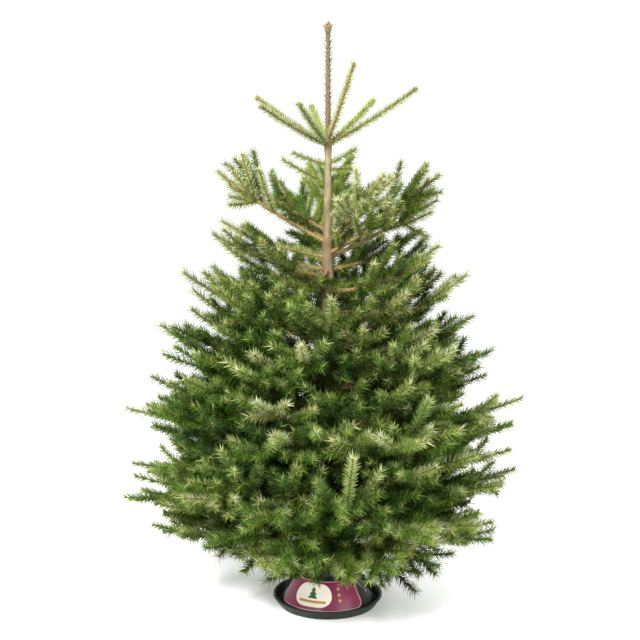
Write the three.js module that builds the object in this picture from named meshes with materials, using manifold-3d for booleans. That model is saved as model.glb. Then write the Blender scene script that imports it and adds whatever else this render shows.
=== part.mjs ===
// A cut Nordmann fir sold as a Christmas tree, 2 m tall, in a round plastic water stand.
// Millimetres, +Z up, the viewer's side is -Y. The origin is the middle of the stand's flat underside.
// The trunk runs unbroken from its flat cut to the leader's bud. Round it stand tiers of boughs, and each
// bough carries one fan of needle sprays. Where the fans hide their boughs, the fan itself meets the trunk.

import * as THREE from "three";
import { mergeVertices } from "three/addons/utils/BufferGeometryUtils.js";
import Module from "manifold-3d";

const wasm = await Module();
wasm.setup();

// ---------------------------------------------------------------- driving dimensions

const TREE_HEIGHT = 2000;
const SEAT_GAP = 0.3; // left between pieces that touch
const ROUND = 2 * Math.PI;

const STAND = {
  floor: 5, // thickness of the pan's floor
  footRadius: 172,
  rimRadius: 192,
  rimHeight: 33,
  wall: 4,
  skirtRadius: 172, // foot of the conical skirt
  collarRadius: 98, // the collar that grips the trunk
  collarFoot: 124,
  collarTop: 152,
};
const SCREW = { radius: 4, clearance: 0.5, height: 138, reach: 134, barLength: 46, barRadius: 4.5 };
const SCREW_HEADINGS = [45, 135, 225, 315];

// The trunk's radius by height, from the cut to the leader's tip. It swells a little at each whorl.
const TRUNK_RADII = [
  [STAND.floor + SEAT_GAP, 38],
  [60, 36],
  [190, 34],
  [360, 31.5],
  [580, 28],
  [800, 24.5],
  [930, 22.5],
  [1080, 19.5],
  [1170, 18.5],
  [1230, 17.5],
  [1257, 18.5],
  [1290, 16],
  [1460, 13],
  [1560, 11.5],
  [1586, 13],
  [1610, 8.5],
  [1780, 7],
  [1955, 5],
];
const BUD = { radius: 13, height: 22 }; // the cluster of buds on the leader
const TRUNK_SIDES = 12;
const LEAN = { offset: -22, straightAbove: 1250 }; // the butt stands off-centre and the trunk sweeps upright

// Headings turn anticlockwise from +X, so 180 is the left and 270 the viewer's side.
const LEADING_WHORL_HEIGHT = 1586;
const LEADING_SHOOTS = [
  { heading: 0, rise: 33, length: 345 },
  { heading: 51, rise: 33, length: 300 },
  { heading: 103, rise: 30, length: 290 },
  { heading: 154, rise: 32, length: 315 },
  { heading: 222, rise: 23, length: 310 },
  { heading: 249, rise: 26, length: 285 },
  { heading: 303, rise: 61, length: 296 },
];
const SHOOT = { radius: 15, rootRadius: 1.5, opening: 0.15 }; // twig and needles together

// Each tier: where it leaves the trunk, how steeply it rises, how far each of its fans reaches and where it
// heads, how widely a fan spreads to either side, half its thickness, how far its middle sags below the
// straight line, and the share of its length that is bare bough.
const TIERS = [
  {
    name: "second",
    height: 1257,
    rise: 31,
    headings: [-4, 62, 124, 184, 300],
    reaches: [400, 350, 345, 385, 350],
    spread: 27,
    thickness: 62,
    sag: 26,
    boughShare: 0.5,
  },
  {
    name: "upper_mid",
    height: 1170,
    rise: 17,
    headings: [22, 100, 170, 254],
    reaches: [350, 340, 395, 330],
    spread: 36,
    thickness: 56,
    sag: 12,
    boughShare: 0,
  },
  {
    name: "third",
    height: 930,
    rise: 27,
    headings: [-6, 66, 138, 192, 268],
    reaches: [475, 450, 455, 470, 450],
    spread: 33,
    thickness: 108,
    sag: 30,
    boughShare: 0.28,
  },
  {
    name: "fourth",
    height: 800,
    rise: 11,
    headings: [12, 84, 166, 236, 306],
    reaches: [570, 545, 620, 560, 550],
    spread: 35,
    thickness: 96,
    sag: 20,
    boughShare: 0,
  },
  {
    name: "fifth",
    height: 590,
    rise: 12,
    headings: [-6, 54, 114, 178, 238, 296],
    reaches: [652, 620, 620, 628, 620, 620],
    spread: 30,
    thickness: 128,
    sag: 14,
    boughShare: 0,
  },
  {
    name: "sixth",
    height: 372,
    rise: 7,
    headings: [4, 64, 124, 186, 246, 302],
    reaches: [660, 645, 650, 704, 630, 630],
    spread: 30,
    thickness: 124,
    sag: 10,
    boughShare: 0,
  },
  {
    name: "lowest",
    height: 205,
    rise: 5,
    headings: [-12, 58, 128, 196, 266],
    reaches: [580, 570, 580, 575, 440],
    spread: 32,
    thickness: 84,
    sag: 14,
    boughShare: 0,
  },
];
const BOUGH_RADII = { root: 9.5, end: 6.5 };
const FAN = {
  stations: 7,
  sides: 7,
  rootWidth: 8, // half of it, where a fan meets the trunk
  leastThickness: 9, // half of it
  openedBy: 0.36, // the share of its length at which a fan has its whole thickness
  unevenness: 0.13,
  notch: 0.8, // how far the edge draws in between one spray and the next
};

// ---------------------------------------------------------------- materials

const finish = (color, roughness, metalness = 0) =>
  new THREE.MeshStandardMaterial({ color, roughness, metalness });
const bark = finish("#6f5f4e", 0.9);
const youngBark = finish("#9a7148", 0.8);
const needles = finish("#3f6128", 0.7);
const freshNeedles = finish("#6b8a3a", 0.7);
const greenPlastic = finish("#16261f", 0.45);
const platedSteel = finish("#9b9d9c", 0.4, 0.9);

// ---------------------------------------------------------------- small helpers

const radians = THREE.MathUtils.degToRad;
const { lerp, clamp, smoothstep } = THREE.MathUtils;

// A repeatable number from -1 to 1 for any whole-number address.
function scatter(...address) {
  const mixed = address.reduce((sum, n, i) => sum + n * (12.9898 + 65.233 * i), 4.1);
  const wave = Math.sin(mixed) * 43758.5453;
  return 2 * (wave - Math.floor(wave)) - 1;
}

// A closed geometry as a manifold solid, and back.
function toSolid(geometry) {
  const bare = new THREE.BufferGeometry();
  bare.setAttribute("position", geometry.getAttribute("position"));
  bare.setIndex(geometry.index);
  const merged = mergeVertices(bare, 1e-3);
  const vertProperties = merged.getAttribute("position").array;
  return new wasm.Manifold(
    new wasm.Mesh({ numProp: 3, vertProperties, triVerts: new Uint32Array(merged.index.array) }),
  );
}
function toGeometry(solid) {
  const mesh = solid.getMesh();
  const geometry = new THREE.BufferGeometry();
  geometry.setAttribute("position", new THREE.BufferAttribute(mesh.vertProperties, 3));
  geometry.setIndex(new THREE.BufferAttribute(mesh.triVerts, 1));
  return geometry;
}

// The largest of the separate bodies that a cut leaves.
function largest(solid) {
  return solid.decompose().sort((a, b) => b.volume() - a.volume())[0];
}

// A round body turned about +Z from [radius, height] points.
function turned(profile, sides) {
  const points = profile.map(([radius, height]) => new THREE.Vector2(radius, height));
  return new THREE.LatheGeometry(points, sides).rotateX(Math.PI / 2);
}

// A closed solid swept along a curve. sizeAt gives half its width and half its thickness at a share of the
// way along, for the corner of the section that is asked. A clearance makes it that much larger all round.
function swept(curve, stations, sides, clearance, sizeAt) {
  const geometry = new THREE.CylinderGeometry(1, 1, 1, sides, stations);
  const places = geometry.getAttribute("position");
  const up = new THREE.Vector3(0, 0, 1);
  for (let i = 0; i < places.count; i++) {
    const [across, along, over] = [places.getX(i), places.getY(i), places.getZ(i)];
    const station = Math.round((0.5 + along) * stations);
    const corner = (Math.round((Math.atan2(over, across) / ROUND) * sides) + sides) % sides;
    const share = station / stations;
    const tangent = curve.getTangentAt(share);
    const side = new THREE.Vector3().crossVectors(tangent, up).normalize();
    const lift = new THREE.Vector3().crossVectors(side, tangent);
    const [halfWidth, halfThickness] = sizeAt(share, station, corner);
    const place = curve
      .getPointAt(share)
      .addScaledVector(tangent, clearance * Math.sign(along) * (Math.abs(along) > 0.49 ? 1 : 0))
      .addScaledVector(side, across * (halfWidth + clearance))
      .addScaledVector(lift, over * (halfThickness + clearance));
    places.setXYZ(i, place.x, place.y, place.z);
  }
  return geometry;
}

// ---------------------------------------------------------------- trunk

function trunkRadius(height) {
  const above = TRUNK_RADII.findIndex(([h]) => h >= height);
  if (above <= 0) return TRUNK_RADII.at(above)[1];
  const [[h0, r0], [h1, r1]] = [TRUNK_RADII[above - 1], TRUNK_RADII[above]];
  return lerp(r0, r1, (height - h0) / (h1 - h0));
}

function trunkCentre(height) {
  const bent = clamp(1 - height / LEAN.straightAbove, 0, 1);
  return new THREE.Vector3(LEAN.offset * bent * bent, 0, height);
}

// The trunk's solid, or with a clearance the space that a piece seated on it is cut by.
function trunkSolid(clearance) {
  const outline = TRUNK_RADII.map(([height, radius]) => [radius + clearance, height]);
  const cut = TRUNK_RADII[0][0] - clearance;
  const profile = [
    [0, cut],
    [outline[0][0], cut],
    ...outline.slice(1),
    [BUD.radius + clearance, TREE_HEIGHT - BUD.height],
    [0, TREE_HEIGHT + clearance],
  ];
  const geometry = turned(profile, TRUNK_SIDES);
  const places = geometry.getAttribute("position");
  for (let i = 0; i < places.count; i++) {
    places.setX(i, places.getX(i) + trunkCentre(places.getZ(i)).x);
  }
  return geometry;
}
const trunkClear = toSolid(trunkSolid(SEAT_GAP));

// ---------------------------------------------------------------- limbs and fans of needles

// The line of a bough in its own frame: it leaves the trunk's axis along +X and rises, sagging by its weight.
function boughLine(reach, rise, sag) {
  const end = new THREE.Vector3(reach, 0, reach * Math.tan(radians(rise)));
  const middle = end.clone().multiplyScalar(0.5);
  middle.z -= sag;
  return new THREE.CatmullRomCurve3([new THREE.Vector3(), middle, end]);
}

// Part of a line, by shares of its length.
function partOf(line, from, to) {
  const points = [0, 0.25, 0.5, 0.75, 1].map((share) => line.getPointAt(lerp(from, to, share)));
  return new THREE.CatmullRomCurve3(points);
}

// A limb of wood that tapers from root to end.
function limb(line, rootRadius, endRadius, clearance) {
  return swept(line, 4, 8, clearance, (share) => {
    const radius = lerp(rootRadius, endRadius, share);
    return [radius, radius];
  });
}

// One shoot with its needles: a slim spindle that starts at the bare twig.
function shoot(line, clearance) {
  const length = line.getLength();
  return swept(line, 6, 7, clearance, (share) => {
    const opened = Math.min(SHOOT.radius, SHOOT.rootRadius + SHOOT.opening * share * length);
    const size = opened * lerp(1, 0.7, smoothstep(share, 0.8, 1));
    return [size, size];
  });
}

// A fan of sprays: flat and uneven, widening from its root and rounding off at its tips, with a notched edge.
function fan(line, { fromShare, reach, spread, thickness, seed }, clearance) {
  const slope = Math.tan(radians(spread));
  return swept(line, FAN.stations, FAN.sides, clearance, (share, station, corner) => {
    const out = lerp(fromShare, 1, share);
    const opened = lerp(fromShare > 0 ? 0.12 : 0.2, 1, smoothstep(share, 0, FAN.openedBy));
    const rounded = Math.sqrt(1 - 0.96 * out ** 9);
    const rough = 1 + (share > 0 ? FAN.unevenness * (scatter(seed, station, corner) - 1) : 0);
    const notched = station % 2 === 1 || share === 1 ? 1 : FAN.notch;
    const halfWidth = FAN.rootWidth + reach * slope * out * (fromShare > 0 ? opened : 1) * notched;
    const halfThickness = thickness * opened * lerp(0.3, 1, rounded);
    return [halfWidth * rounded * rough, Math.max(FAN.leastThickness, halfThickness * rough)];
  });
}

// ---------------------------------------------------------------- the tree

const tree = new THREE.Group();
const crown = new THREE.Group();
tree.add(crown);

function add(group, name, geometry, material) {
  const mesh = new THREE.Mesh(geometry, material);
  mesh.name = name;
  group.add(mesh);
  return mesh;
}

// Sets a piece made in a bough's own frame at its place on the trunk, cut where it would enter the trunk or a
// piece that is there already. shapeWith makes its geometry, with a clearance all round.
let taken = trunkClear;
function addSeated(name, shapeWith, material, height, heading) {
  const centre = trunkCentre(height);
  const takenHere = taken.translate([-centre.x, -centre.y, -centre.z]).rotate([0, 0, -heading]);
  const seated = largest(toSolid(shapeWith(0)).subtract(takenHere));
  const mesh = add(crown, name, toGeometry(seated), material);
  mesh.position.copy(centre);
  mesh.rotation.z = radians(heading);
  const space = toSolid(shapeWith(SEAT_GAP)).rotate([0, 0, heading]);
  taken = taken.add(space.translate([centre.x, centre.y, centre.z]));
}

add(tree, "trunk", trunkSolid(0), bark);

LEADING_SHOOTS.forEach(({ heading, rise, length }, i) => {
  const reach = length * Math.cos(radians(rise));
  const line = boughLine(reach, rise, length * 0.02);
  const shape = (clearance) => shoot(line, clearance);
  addSeated(`leading_shoot_${i + 1}`, shape, freshNeedles, LEADING_WHORL_HEIGHT, heading);
});

TIERS.forEach(({ name, height, rise, reaches, headings, spread, thickness, sag, boughShare }, tier) => {
  headings.forEach((heading, i) => {
    const reach = reaches[i];
    const line = boughLine(reach, rise, sag);
    const fanStart = boughShare > 0 ? boughShare + SEAT_GAP / line.getLength() : 0;
    if (boughShare > 0) {
      const woodLine = partOf(line, 0, boughShare);
      const wood = (clearance) => limb(woodLine, BOUGH_RADII.root, BOUGH_RADII.end, clearance);
      addSeated(`${name}_bough_${i + 1}`, wood, youngBark, height, heading);
    }
    const fanLine = partOf(line, fanStart, 1);
    const sizes = { fromShare: fanStart, reach, spread, thickness, seed: 10 * tier + i };
    const foliage = (clearance) => fan(fanLine, sizes, clearance);
    addSeated(`${name}_fan_${i + 1}`, foliage, needles, height, heading);
  });
});

// ---------------------------------------------------------------- the stand

const stand = new THREE.Group();
tree.add(stand);

// The pan: a flat disc with a flared wall, which also catches spilt water.
const { floor, footRadius, rimRadius, rimHeight, wall } = STAND;
const panProfile = [
  [0, 0],
  [footRadius, 0],
  [rimRadius - 3, rimHeight - 5],
  [rimRadius, rimHeight],
  [rimRadius - wall - 3, rimHeight],
  [footRadius + 1, floor],
  [0, floor],
];
add(stand, "stand_pan", turned(panProfile, 36), greenPlastic);

// The cone: a hollow skirt that rises to the collar, and the round well that holds the trunk in its water.
const seat = floor + SEAT_GAP;
const { skirtRadius, collarRadius, collarFoot, collarTop } = STAND;
const wellRadius = collarRadius - 2 * wall;
const coneProfile = [
  [skirtRadius - wall, seat],
  [collarRadius, collarFoot],
  [collarRadius, collarTop],
  [wellRadius, collarTop],
  [wellRadius, seat],
  [wellRadius + wall, seat],
  [wellRadius + wall, collarFoot - 2 * wall],
  [skirtRadius - 3 * wall, seat],
  [skirtRadius - wall, seat],
];
const screwHoles = SCREW_HEADINGS.map((heading) => {
  const bore = new THREE.CylinderGeometry(1, 1, 40, 12)
    .scale(SCREW.radius + SCREW.clearance, 1, SCREW.radius + SCREW.clearance)
    .rotateZ(-Math.PI / 2)
    .translate(collarRadius, 0, SCREW.height)
    .rotateZ(radians(heading));
  return toSolid(bore);
});
const cone = screwHoles.reduce((solid, hole) => solid.subtract(hole), toSolid(turned(coneProfile, 36)));
add(stand, "stand_cone", toGeometry(cone), greenPlastic);

// The four thumb screws: a rod that presses on the trunk, and a cross bar to turn it by.
SCREW_HEADINGS.forEach((heading, i) => {
  const rod = new THREE.CylinderGeometry(SCREW.radius, SCREW.radius, SCREW.reach, 10)
    .rotateZ(-Math.PI / 2)
    .translate(SCREW.reach / 2, 0, 0);
  const bar = new THREE.CylinderGeometry(SCREW.barRadius, SCREW.barRadius, SCREW.barLength, 10).translate(
    SCREW.reach,
    0,
    0,
  );
  const trunkHere = trunkClear.translate([0, 0, -SCREW.height]).rotate([0, 0, -heading]);
  const screw = largest(toSolid(rod).add(toSolid(bar)).subtract(trunkHere));
  const mesh = add(stand, `stand_screw_${i + 1}`, toGeometry(screw), platedSteel);
  mesh.position.z = SCREW.height;
  mesh.rotation.z = radians(heading);
});

export default tree;
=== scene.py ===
# %% [markdown]
# # A cut Nordmann fir in its water stand
# This lesson grows a 2 m Christmas tree twig by twig. A packed construction model says where the trunk
# stands, where each mass of needles lies and how far it reaches. The lesson reads those places, grows real
# boughs into them by one branching rule, clothes the boughs with needles by Geometry Nodes, and finishes the
# bark and the stand's moulded plastic. Everything is in metres, +Z up, and seen from -Y.

# %% The frame
import math

import bmesh
import bpy
import numpy as np
from mathutils import Matrix, Vector


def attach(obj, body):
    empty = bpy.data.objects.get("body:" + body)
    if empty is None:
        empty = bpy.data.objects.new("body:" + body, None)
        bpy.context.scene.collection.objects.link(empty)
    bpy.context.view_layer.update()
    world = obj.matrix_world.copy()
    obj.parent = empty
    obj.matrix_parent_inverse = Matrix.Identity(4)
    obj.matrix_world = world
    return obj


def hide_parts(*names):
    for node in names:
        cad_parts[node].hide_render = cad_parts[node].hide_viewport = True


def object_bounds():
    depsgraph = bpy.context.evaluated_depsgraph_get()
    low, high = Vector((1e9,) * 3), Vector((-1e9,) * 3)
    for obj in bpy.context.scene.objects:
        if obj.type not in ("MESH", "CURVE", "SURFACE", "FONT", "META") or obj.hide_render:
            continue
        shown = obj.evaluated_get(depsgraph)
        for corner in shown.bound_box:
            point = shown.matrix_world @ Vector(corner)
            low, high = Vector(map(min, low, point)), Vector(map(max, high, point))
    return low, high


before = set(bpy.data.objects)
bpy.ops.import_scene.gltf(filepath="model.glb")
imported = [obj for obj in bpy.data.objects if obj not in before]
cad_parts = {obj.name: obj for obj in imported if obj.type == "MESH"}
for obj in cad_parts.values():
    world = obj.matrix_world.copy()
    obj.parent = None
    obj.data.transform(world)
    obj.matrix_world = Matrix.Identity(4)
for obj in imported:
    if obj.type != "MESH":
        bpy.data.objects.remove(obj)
cad_box = [list(corner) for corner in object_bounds()]
MM = 0.001
UP = np.array([0.0, 0.0, 1.0])
print("construction model:", len(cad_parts), "nodes, box", cad_box)

# %% [markdown]
# ## Camera, floor and light
# The tree was seen from standing eye height, a little under 4 m away, looking slightly down, so that the dish
# of the stand shows as an ellipse. A long lens keeps the trunk upright. The light is a studio's: one broad
# soft lamp above and in front of the tree, a weaker one on the other side, and a pale surround that fills the
# shadows between the boughs.

# %% Camera
CAMERA_DISTANCE = 3.75
CAMERA_HEIGHT = 1.5
CAMERA_ASIDE = -0.027
CAMERA_LOOKS_DOWN = 7.58
CAMERA_LENS = 62.2

scene = bpy.context.scene
camera_data = bpy.data.cameras.new("camera")
camera_data.lens = CAMERA_LENS
camera = bpy.data.objects.new("camera", camera_data)
camera.location = (CAMERA_ASIDE, -CAMERA_DISTANCE, CAMERA_HEIGHT)
camera.rotation_euler = (math.radians(90 - CAMERA_LOOKS_DOWN), 0, 0)
scene.collection.objects.link(camera)
scene.camera = camera
print("camera at", tuple(camera.location))

# %% Lamps, surround and floor


def linear(hex_colour):
    """An sRGB hex colour as the linear numbers that shaders use."""
    numbers = (int(hex_colour[i : i + 2], 16) / 255 for i in (1, 3, 5))
    return [n / 12.92 if n <= 0.04045 else ((n + 0.055) / 1.055) ** 2.4 for n in numbers] + [1.0]


def add_lamp(name, place, size, power):
    """A square soft lamp that faces the middle of the crown."""
    lamp = bpy.data.lights.new(name, "AREA")
    lamp.size = size
    lamp.energy = power
    made = bpy.data.objects.new(name, lamp)
    made.location = place
    made.rotation_euler = (Vector((0, 0, 0.9)) - Vector(place)).to_track_quat("-Z", "Y").to_euler()
    scene.collection.objects.link(made)


add_lamp("key", (-1.6, -3.4, 3.4), 1.1, 420)
add_lamp("fill", (2.8, -2.8, 1.8), 2.0, 110)
add_lamp("back", (1.5, 3.2, 3.0), 2.0, 60)

world = bpy.data.worlds.new("surround")
world.use_nodes = True
surround = world.node_tree.nodes["Background"].inputs
surround["Color"].default_value = (1, 1, 1, 1)
surround["Strength"].default_value = 1.08
scene.world = world
scene.view_settings.view_transform = "Standard"

# %% [markdown]
# ## One helper for every node
# Materials and Geometry Nodes are both trees of nodes. One small function adds a node, with its settings by
# name and its inputs as plain values or as links from other nodes. Where many sums follow one another, they
# are easier to read as rows of a table, and a second function turns such rows into nodes.

# %% The helper


def link(tree, source, socket):
    """Links an output socket, or a node's first output in use, to an input."""
    if isinstance(source, bpy.types.Node):
        source = next(output for output in source.outputs if output.enabled)
    tree.links.new(source, socket)


def node(tree, kind, inputs=None, **settings):
    """Adds a node. An input takes a value, an output socket, or a node to be linked from."""
    made = tree.nodes.new(kind)
    for name, value in settings.items():
        setattr(made, name, value)
    for key, source in (inputs or {}).items():
        if isinstance(source, (bpy.types.Node, bpy.types.NodeSocket)):
            link(tree, source, made.inputs[key])
        else:
            made.inputs[key].default_value = source
    return made


def work_out(tree, made, kind, steps):
    """Adds a node for each step: what it makes, its operation, and its inputs, which may be named above."""
    for name, operation, *values in steps:
        inputs = {i: made[value] if isinstance(value, str) else value for i, value in enumerate(values)}
        made[name] = node(tree, kind, inputs, operation=operation)


def new_material(name, colour, roughness, **settings):
    """A material with one Principled shader. Extra settings go to its sockets by name."""
    material = bpy.data.materials.new(name)
    material.use_nodes = True
    shader = material.node_tree.nodes["Principled BSDF"]
    shader.inputs["Base Color"].default_value = linear(colour)
    shader.inputs["Roughness"].default_value = roughness
    for key, value in settings.items():
        shader.inputs[key.replace("_", " ")].default_value = value
    material.diffuse_color = linear(colour)
    return material


def surface(material, **sources):
    """Links nodes to a material's shader, by the names of its sockets."""
    shader = material.node_tree.nodes["Principled BSDF"]
    for key, source in sources.items():
        link(material.node_tree, source, shader.inputs[key.replace("_", " ")])


# %% Finished pieces, and the floor


def ship(piece, slot, *replaced):
    """Attaches a finished piece to the root, so that it stands still with the tree, and hides the nodes it
    stands for.
    """
    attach(piece, "root")
    if replaced:
        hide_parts(*replaced)


def add_object(name, mesh):
    """A mesh as an object of the scene, at the origin."""
    made = bpy.data.objects.new(name, mesh)
    scene.collection.objects.link(made)
    return made


FLOOR_HALF = 60
FLOOR_BELOW = 0.5 * MM  # it lies this far under the stand, so that the two faces don't fight
floor_signs = ((-1, -1), (1, -1), (1, 1), (-1, 1))
floor_corners = [(x * FLOOR_HALF, y * FLOOR_HALF, -FLOOR_BELOW) for x, y in floor_signs]
floor_mesh = bpy.data.meshes.new("floor")
floor_mesh.from_pydata(floor_corners, [], [(0, 1, 2, 3)])
floor = add_object("floor", floor_mesh)
floor_mesh.materials.append(new_material("matt_white_floor", "#fcfcfb", 0.9))

# %% [markdown]
# ## Reading the limbs
# The construction model holds the trunk, the bare boughs, and each mass of foliage as an uneven solid. What
# the branching rule needs from each mass is the line of the limb inside it: where it leaves the trunk, which
# way it heads, how far it reaches and how high its tip stands. All of that is measured on the solid itself.

# %% The trunk's line and thickness


def vertices_of(name):
    """A construction node's corners."""
    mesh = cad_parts[name].data
    corners = np.empty(len(mesh.vertices) * 3)
    mesh.vertices.foreach_get("co", corners)
    return corners.reshape(-1, 3)


trunk_corners = vertices_of("trunk")
ring_heights = np.unique(np.round(trunk_corners[:, 2], 3))
rings = [trunk_corners[np.abs(trunk_corners[:, 2] - height) < 0.001] for height in ring_heights]
ring_centres = np.array([(ring.max(0) + ring.min(0))[:2] / 2 for ring in rings])
ring_radii = np.array([np.ptp(ring[:, 0]) / 2 for ring in rings])
TREE_TOP = float(ring_heights[-1])


def trunk_centre(height):
    """The middle of the trunk at a height."""
    return np.array([np.interp(height, ring_heights, ring_centres[:, 0]), 0.0, height])


def trunk_radius(height):
    """The trunk's radius at a height."""
    return float(np.interp(height, ring_heights, ring_radii))


print("trunk: cut", ring_heights[0], "top", TREE_TOP, "radius at the foot", round(trunk_radius(0.1), 4))

# %% The limb inside each mass


def unit(vector):
    """A vector of length one."""
    return vector / np.linalg.norm(vector)


TIP_FROM = 0.93  # a limb's tip is what lies beyond this share of its reach
ROOT_WITHIN = 0.02  # and its root is what lies this near its inner end


def limb_of(*names):
    """Where a limb leaves the trunk, its heading in radians, its reach, and its tip's height."""
    corners = np.concatenate([vertices_of(name) for name in names])
    outward = np.linalg.norm(corners[:, :2], axis=1)
    reach = outward.max()
    tip = corners[outward > TIP_FROM * reach].mean(0)
    near = corners[outward < outward.min() + ROOT_WITHIN]
    return {
        "root": float(near[:, 2].mean()),
        "heading": math.atan2(tip[1], tip[0]),
        "reach": float(reach),
        "tip": float(tip[2]),
        "masses": [name for name in names if "bough" not in name],
    }


TIER_NAMES = ["second", "upper_mid", "third", "fourth", "fifth", "sixth", "lowest"]
tiers = {}
for tier_name in TIER_NAMES:
    tiers[tier_name] = []
    for name in sorted(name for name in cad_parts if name.startswith(tier_name + "_fan")):
        bough = name.replace("fan", "bough")
        tiers[tier_name].append(limb_of(*[bough, name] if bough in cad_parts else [name]))
leading_names = sorted(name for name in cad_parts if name.startswith("leading_shoot"))
for tier_name, limbs in tiers.items():
    print(tier_name, [(round(math.degrees(limb["heading"])), round(limb["reach"], 2)) for limb in limbs])

# %% The crown's reach
tier_tips = sorted(
    (np.mean([limb["tip"] for limb in limbs]), np.mean([limb["reach"] for limb in limbs]))
    for limbs in tiers.values()
)


def crown_reach(height):
    """How far the crown's tips stand out at a height, from the mean of each tier. It narrows to the top."""
    heights = [tip for tip, reach in tier_tips] + [TREE_TOP]
    reaches = [reach for tip, reach in tier_tips] + [0.0]
    return float(np.interp(height, heights, reaches))


print("crown's reach by height:", [(round(tip, 2), round(reach, 2)) for tip, reach in tier_tips])

# %% [markdown]
# ## The branching rule
# A fir grows by one rule. Each year every shoot makes one new length from its end bud, and side shoots from
# the buds round that end. Two of them lie in the bough's plane and slant forward by about 50 degrees, and one
# or two weaker ones stand above it. A few short ones grow between the whorls. So a bough five years old is a
# flat fan of five generations. A side axis is weaker than its parent, by about a third, and starts a year
# behind. The rule below is that and nothing more. It calls itself for each side axis, and the seed of the
# random numbers is fixed, so the same tree grows every time.

# %% Shoots as short lines
rng = np.random.default_rng(24)
SHOOT_POINTS = 3
BOUGH_POINTS = 5


class Wood:
    """The shoots of one part of the tree, and its boughs' lines, ready to be written into meshes."""

    def __init__(self):
        self.shoots = []
        self.boughs = []

    def add(self, points, radii, dorsal, needles, **traits):
        """One year's length of one axis. The dorsal vector is the side that faces the sky."""
        shoot = {"points": np.array(points), "radii": radii, "dorsal": dorsal, "needles": needles}
        self.shoots.append({**shoot, **traits})


def turned_about(vector, axis, angle):
    """A vector turned about an axis."""
    axis = unit(axis)
    return (
        vector * math.cos(angle)
        + np.cross(axis, vector) * math.sin(angle)
        + axis * np.dot(axis, vector) * (1 - math.cos(angle))
    )


def facing_up(along, hint=UP):
    """The side of a shoot that faces the sky, or the hint."""
    aside = hint - np.dot(hint, along) * along
    if np.linalg.norm(aside) < 0.05:
        aside = np.array([1.0, 0, 0]) - along[0] * along
    return unit(aside)


# %% [markdown]
# ## The colours of the needles
# The newest needles at the top of the tree stand in full light and are yellow-green. Down the tree they
# darken to bottle green. Below about 1.3 m, sprays deep in the crown near the trunk are dealt darker tints
# still: partly the darker colour of shade needles, partly painted shade that stands in for the shadow in the
# heart of the crown.
# Every needle is pale grey-green underneath, from two bands of wax. The colours are plain ones, dealt out by
# spray, so that each side axis has one. Every bough also has a shade of its own, which sets it off from its
# neighbours.

# %% Tints, from the sunniest to the darkest
TOP_COLOURS = ["#7f8838", "#687d29", "#4f6e14", "#3a5c0e", "#294609", "#182e06"]
UNDER_COLOURS = ["#9fa87e", "#939c64", "#758844", "#5a6f31", "#415720", "#2a3e15"]
TINT_SPREAD = 0.8  # how many tints apart the sprays of one bough are
DEEP_BELOW = 1.3  # under this height, sprays near the trunk are in shade
NARROWEST = 0.2  # the crown counts as this wide at least
bough_rng = np.random.default_rng(3)  # for each bough's own shade


def share_out(place):
    """How far out in the crown a place is: nought at its axis, one at its outside."""
    return np.linalg.norm(place[:2]) / max(crown_reach(place[2]), NARROWEST)


def pick_tint(place, bough_shade):
    """The number of a spray's tint, by height, by depth in the crown, by its bough's shade and by chance."""
    sunny = np.interp(place[2], [0.2, 0.5, 0.9, 1.2, 1.4, 1.6], [1.4, 2.1, 2.1, 1.6, 1.5, 0.8])
    # Painted shade: below DEEP_BELOW, sprays inside 0.8 of the crown's reach get darker tints, up to 1.6
    # tints within half of it. This is partly the darker colour of shade needles and partly stands in for the
    # shadow near the trunk.
    shade_needles_and_painted_shade = 0.0 if place[2] > DEEP_BELOW else np.interp(share_out(place), [0.5, 0.8], [1.6, 0.0])
    drawn = sunny + shade_needles_and_painted_shade + bough_shade + rng.normal(0, 1.0) * TINT_SPREAD
    return int(np.clip(round(drawn), 0, len(TOP_COLOURS) - 1))


# %% How one axis grows
SIDE_SHOOTS = [
    # by depth: a side shoot's slant in degrees, its roll out of the bough's plane, and its share of strength
    [(46, 0, 1.0), (-46, 0, 1.0), (54, 42, 0.7), (-54, 42, 0.7)],
    [(46, 0, 1.0), (-46, 0, 1.0), (40, 75, 0.6)],
]
TOP_WHORL = [
    (42, 0, 1.0),
    (-42, 0, 1.0),
    (60, 40, 0.9),
    (-60, 40, 0.9),
    (35, 90, 0.75),
    (78, 62, 0.7),
    (-78, 62, 0.7),
]
SHORTEST = 0.075  # the shortest side axis
SHORTEST_YEAR = 0.125  # a side axis has no more years than lengths like this fit into it
NEEDLES_PER_METRE = 1200
FEWEST_NEEDLES = 3  # a shoot with fewer is left without
KEPT_BY_AGE = [1.0, 1.0, 0.85, 0.6, 0.35, 0.1]  # the share of needles still held, by a shoot's age in years
TWIG_RADIUS = 1.5 * MM
BOUGH_TIP_RADIUS = 2.0 * MM
TWIG_GAIN = 1.2 * MM  # how much thicker a side axis is after its first year
BOUGH_GAIN = 2.6 * MM
DEEPEST = len(SIDE_SHOOTS)
WANDER = 0.02  # how much an axis turns by chance from point to point
DARK, DIM = 0.05, 0.3  # light in which no side axis grows, and in which none grows upright or between whorls


def light_at(place):
    """How much light reaches a place: none in the bare heart of the crown, all of it near its outside."""
    bare = np.interp(place[2], [0.9, 1.15], [0.28, 0.02])
    from_below = 0.7 * np.clip((0.34 - place[2]) / 0.1, 0, 1)
    return float(max(np.clip((share_out(place) - bare) / 0.42, 0, 1), from_below))


def twig_radius(age, depth, stout):
    """How thick an axis is that is so many years old. Side axes stay thinner."""
    if depth == 0:
        return BOUGH_TIP_RADIUS * stout + BOUGH_GAIN * max(age, 0) ** 0.75
    return TWIG_RADIUS * stout + TWIG_GAIN * max(age, 0) ** 0.9


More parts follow.
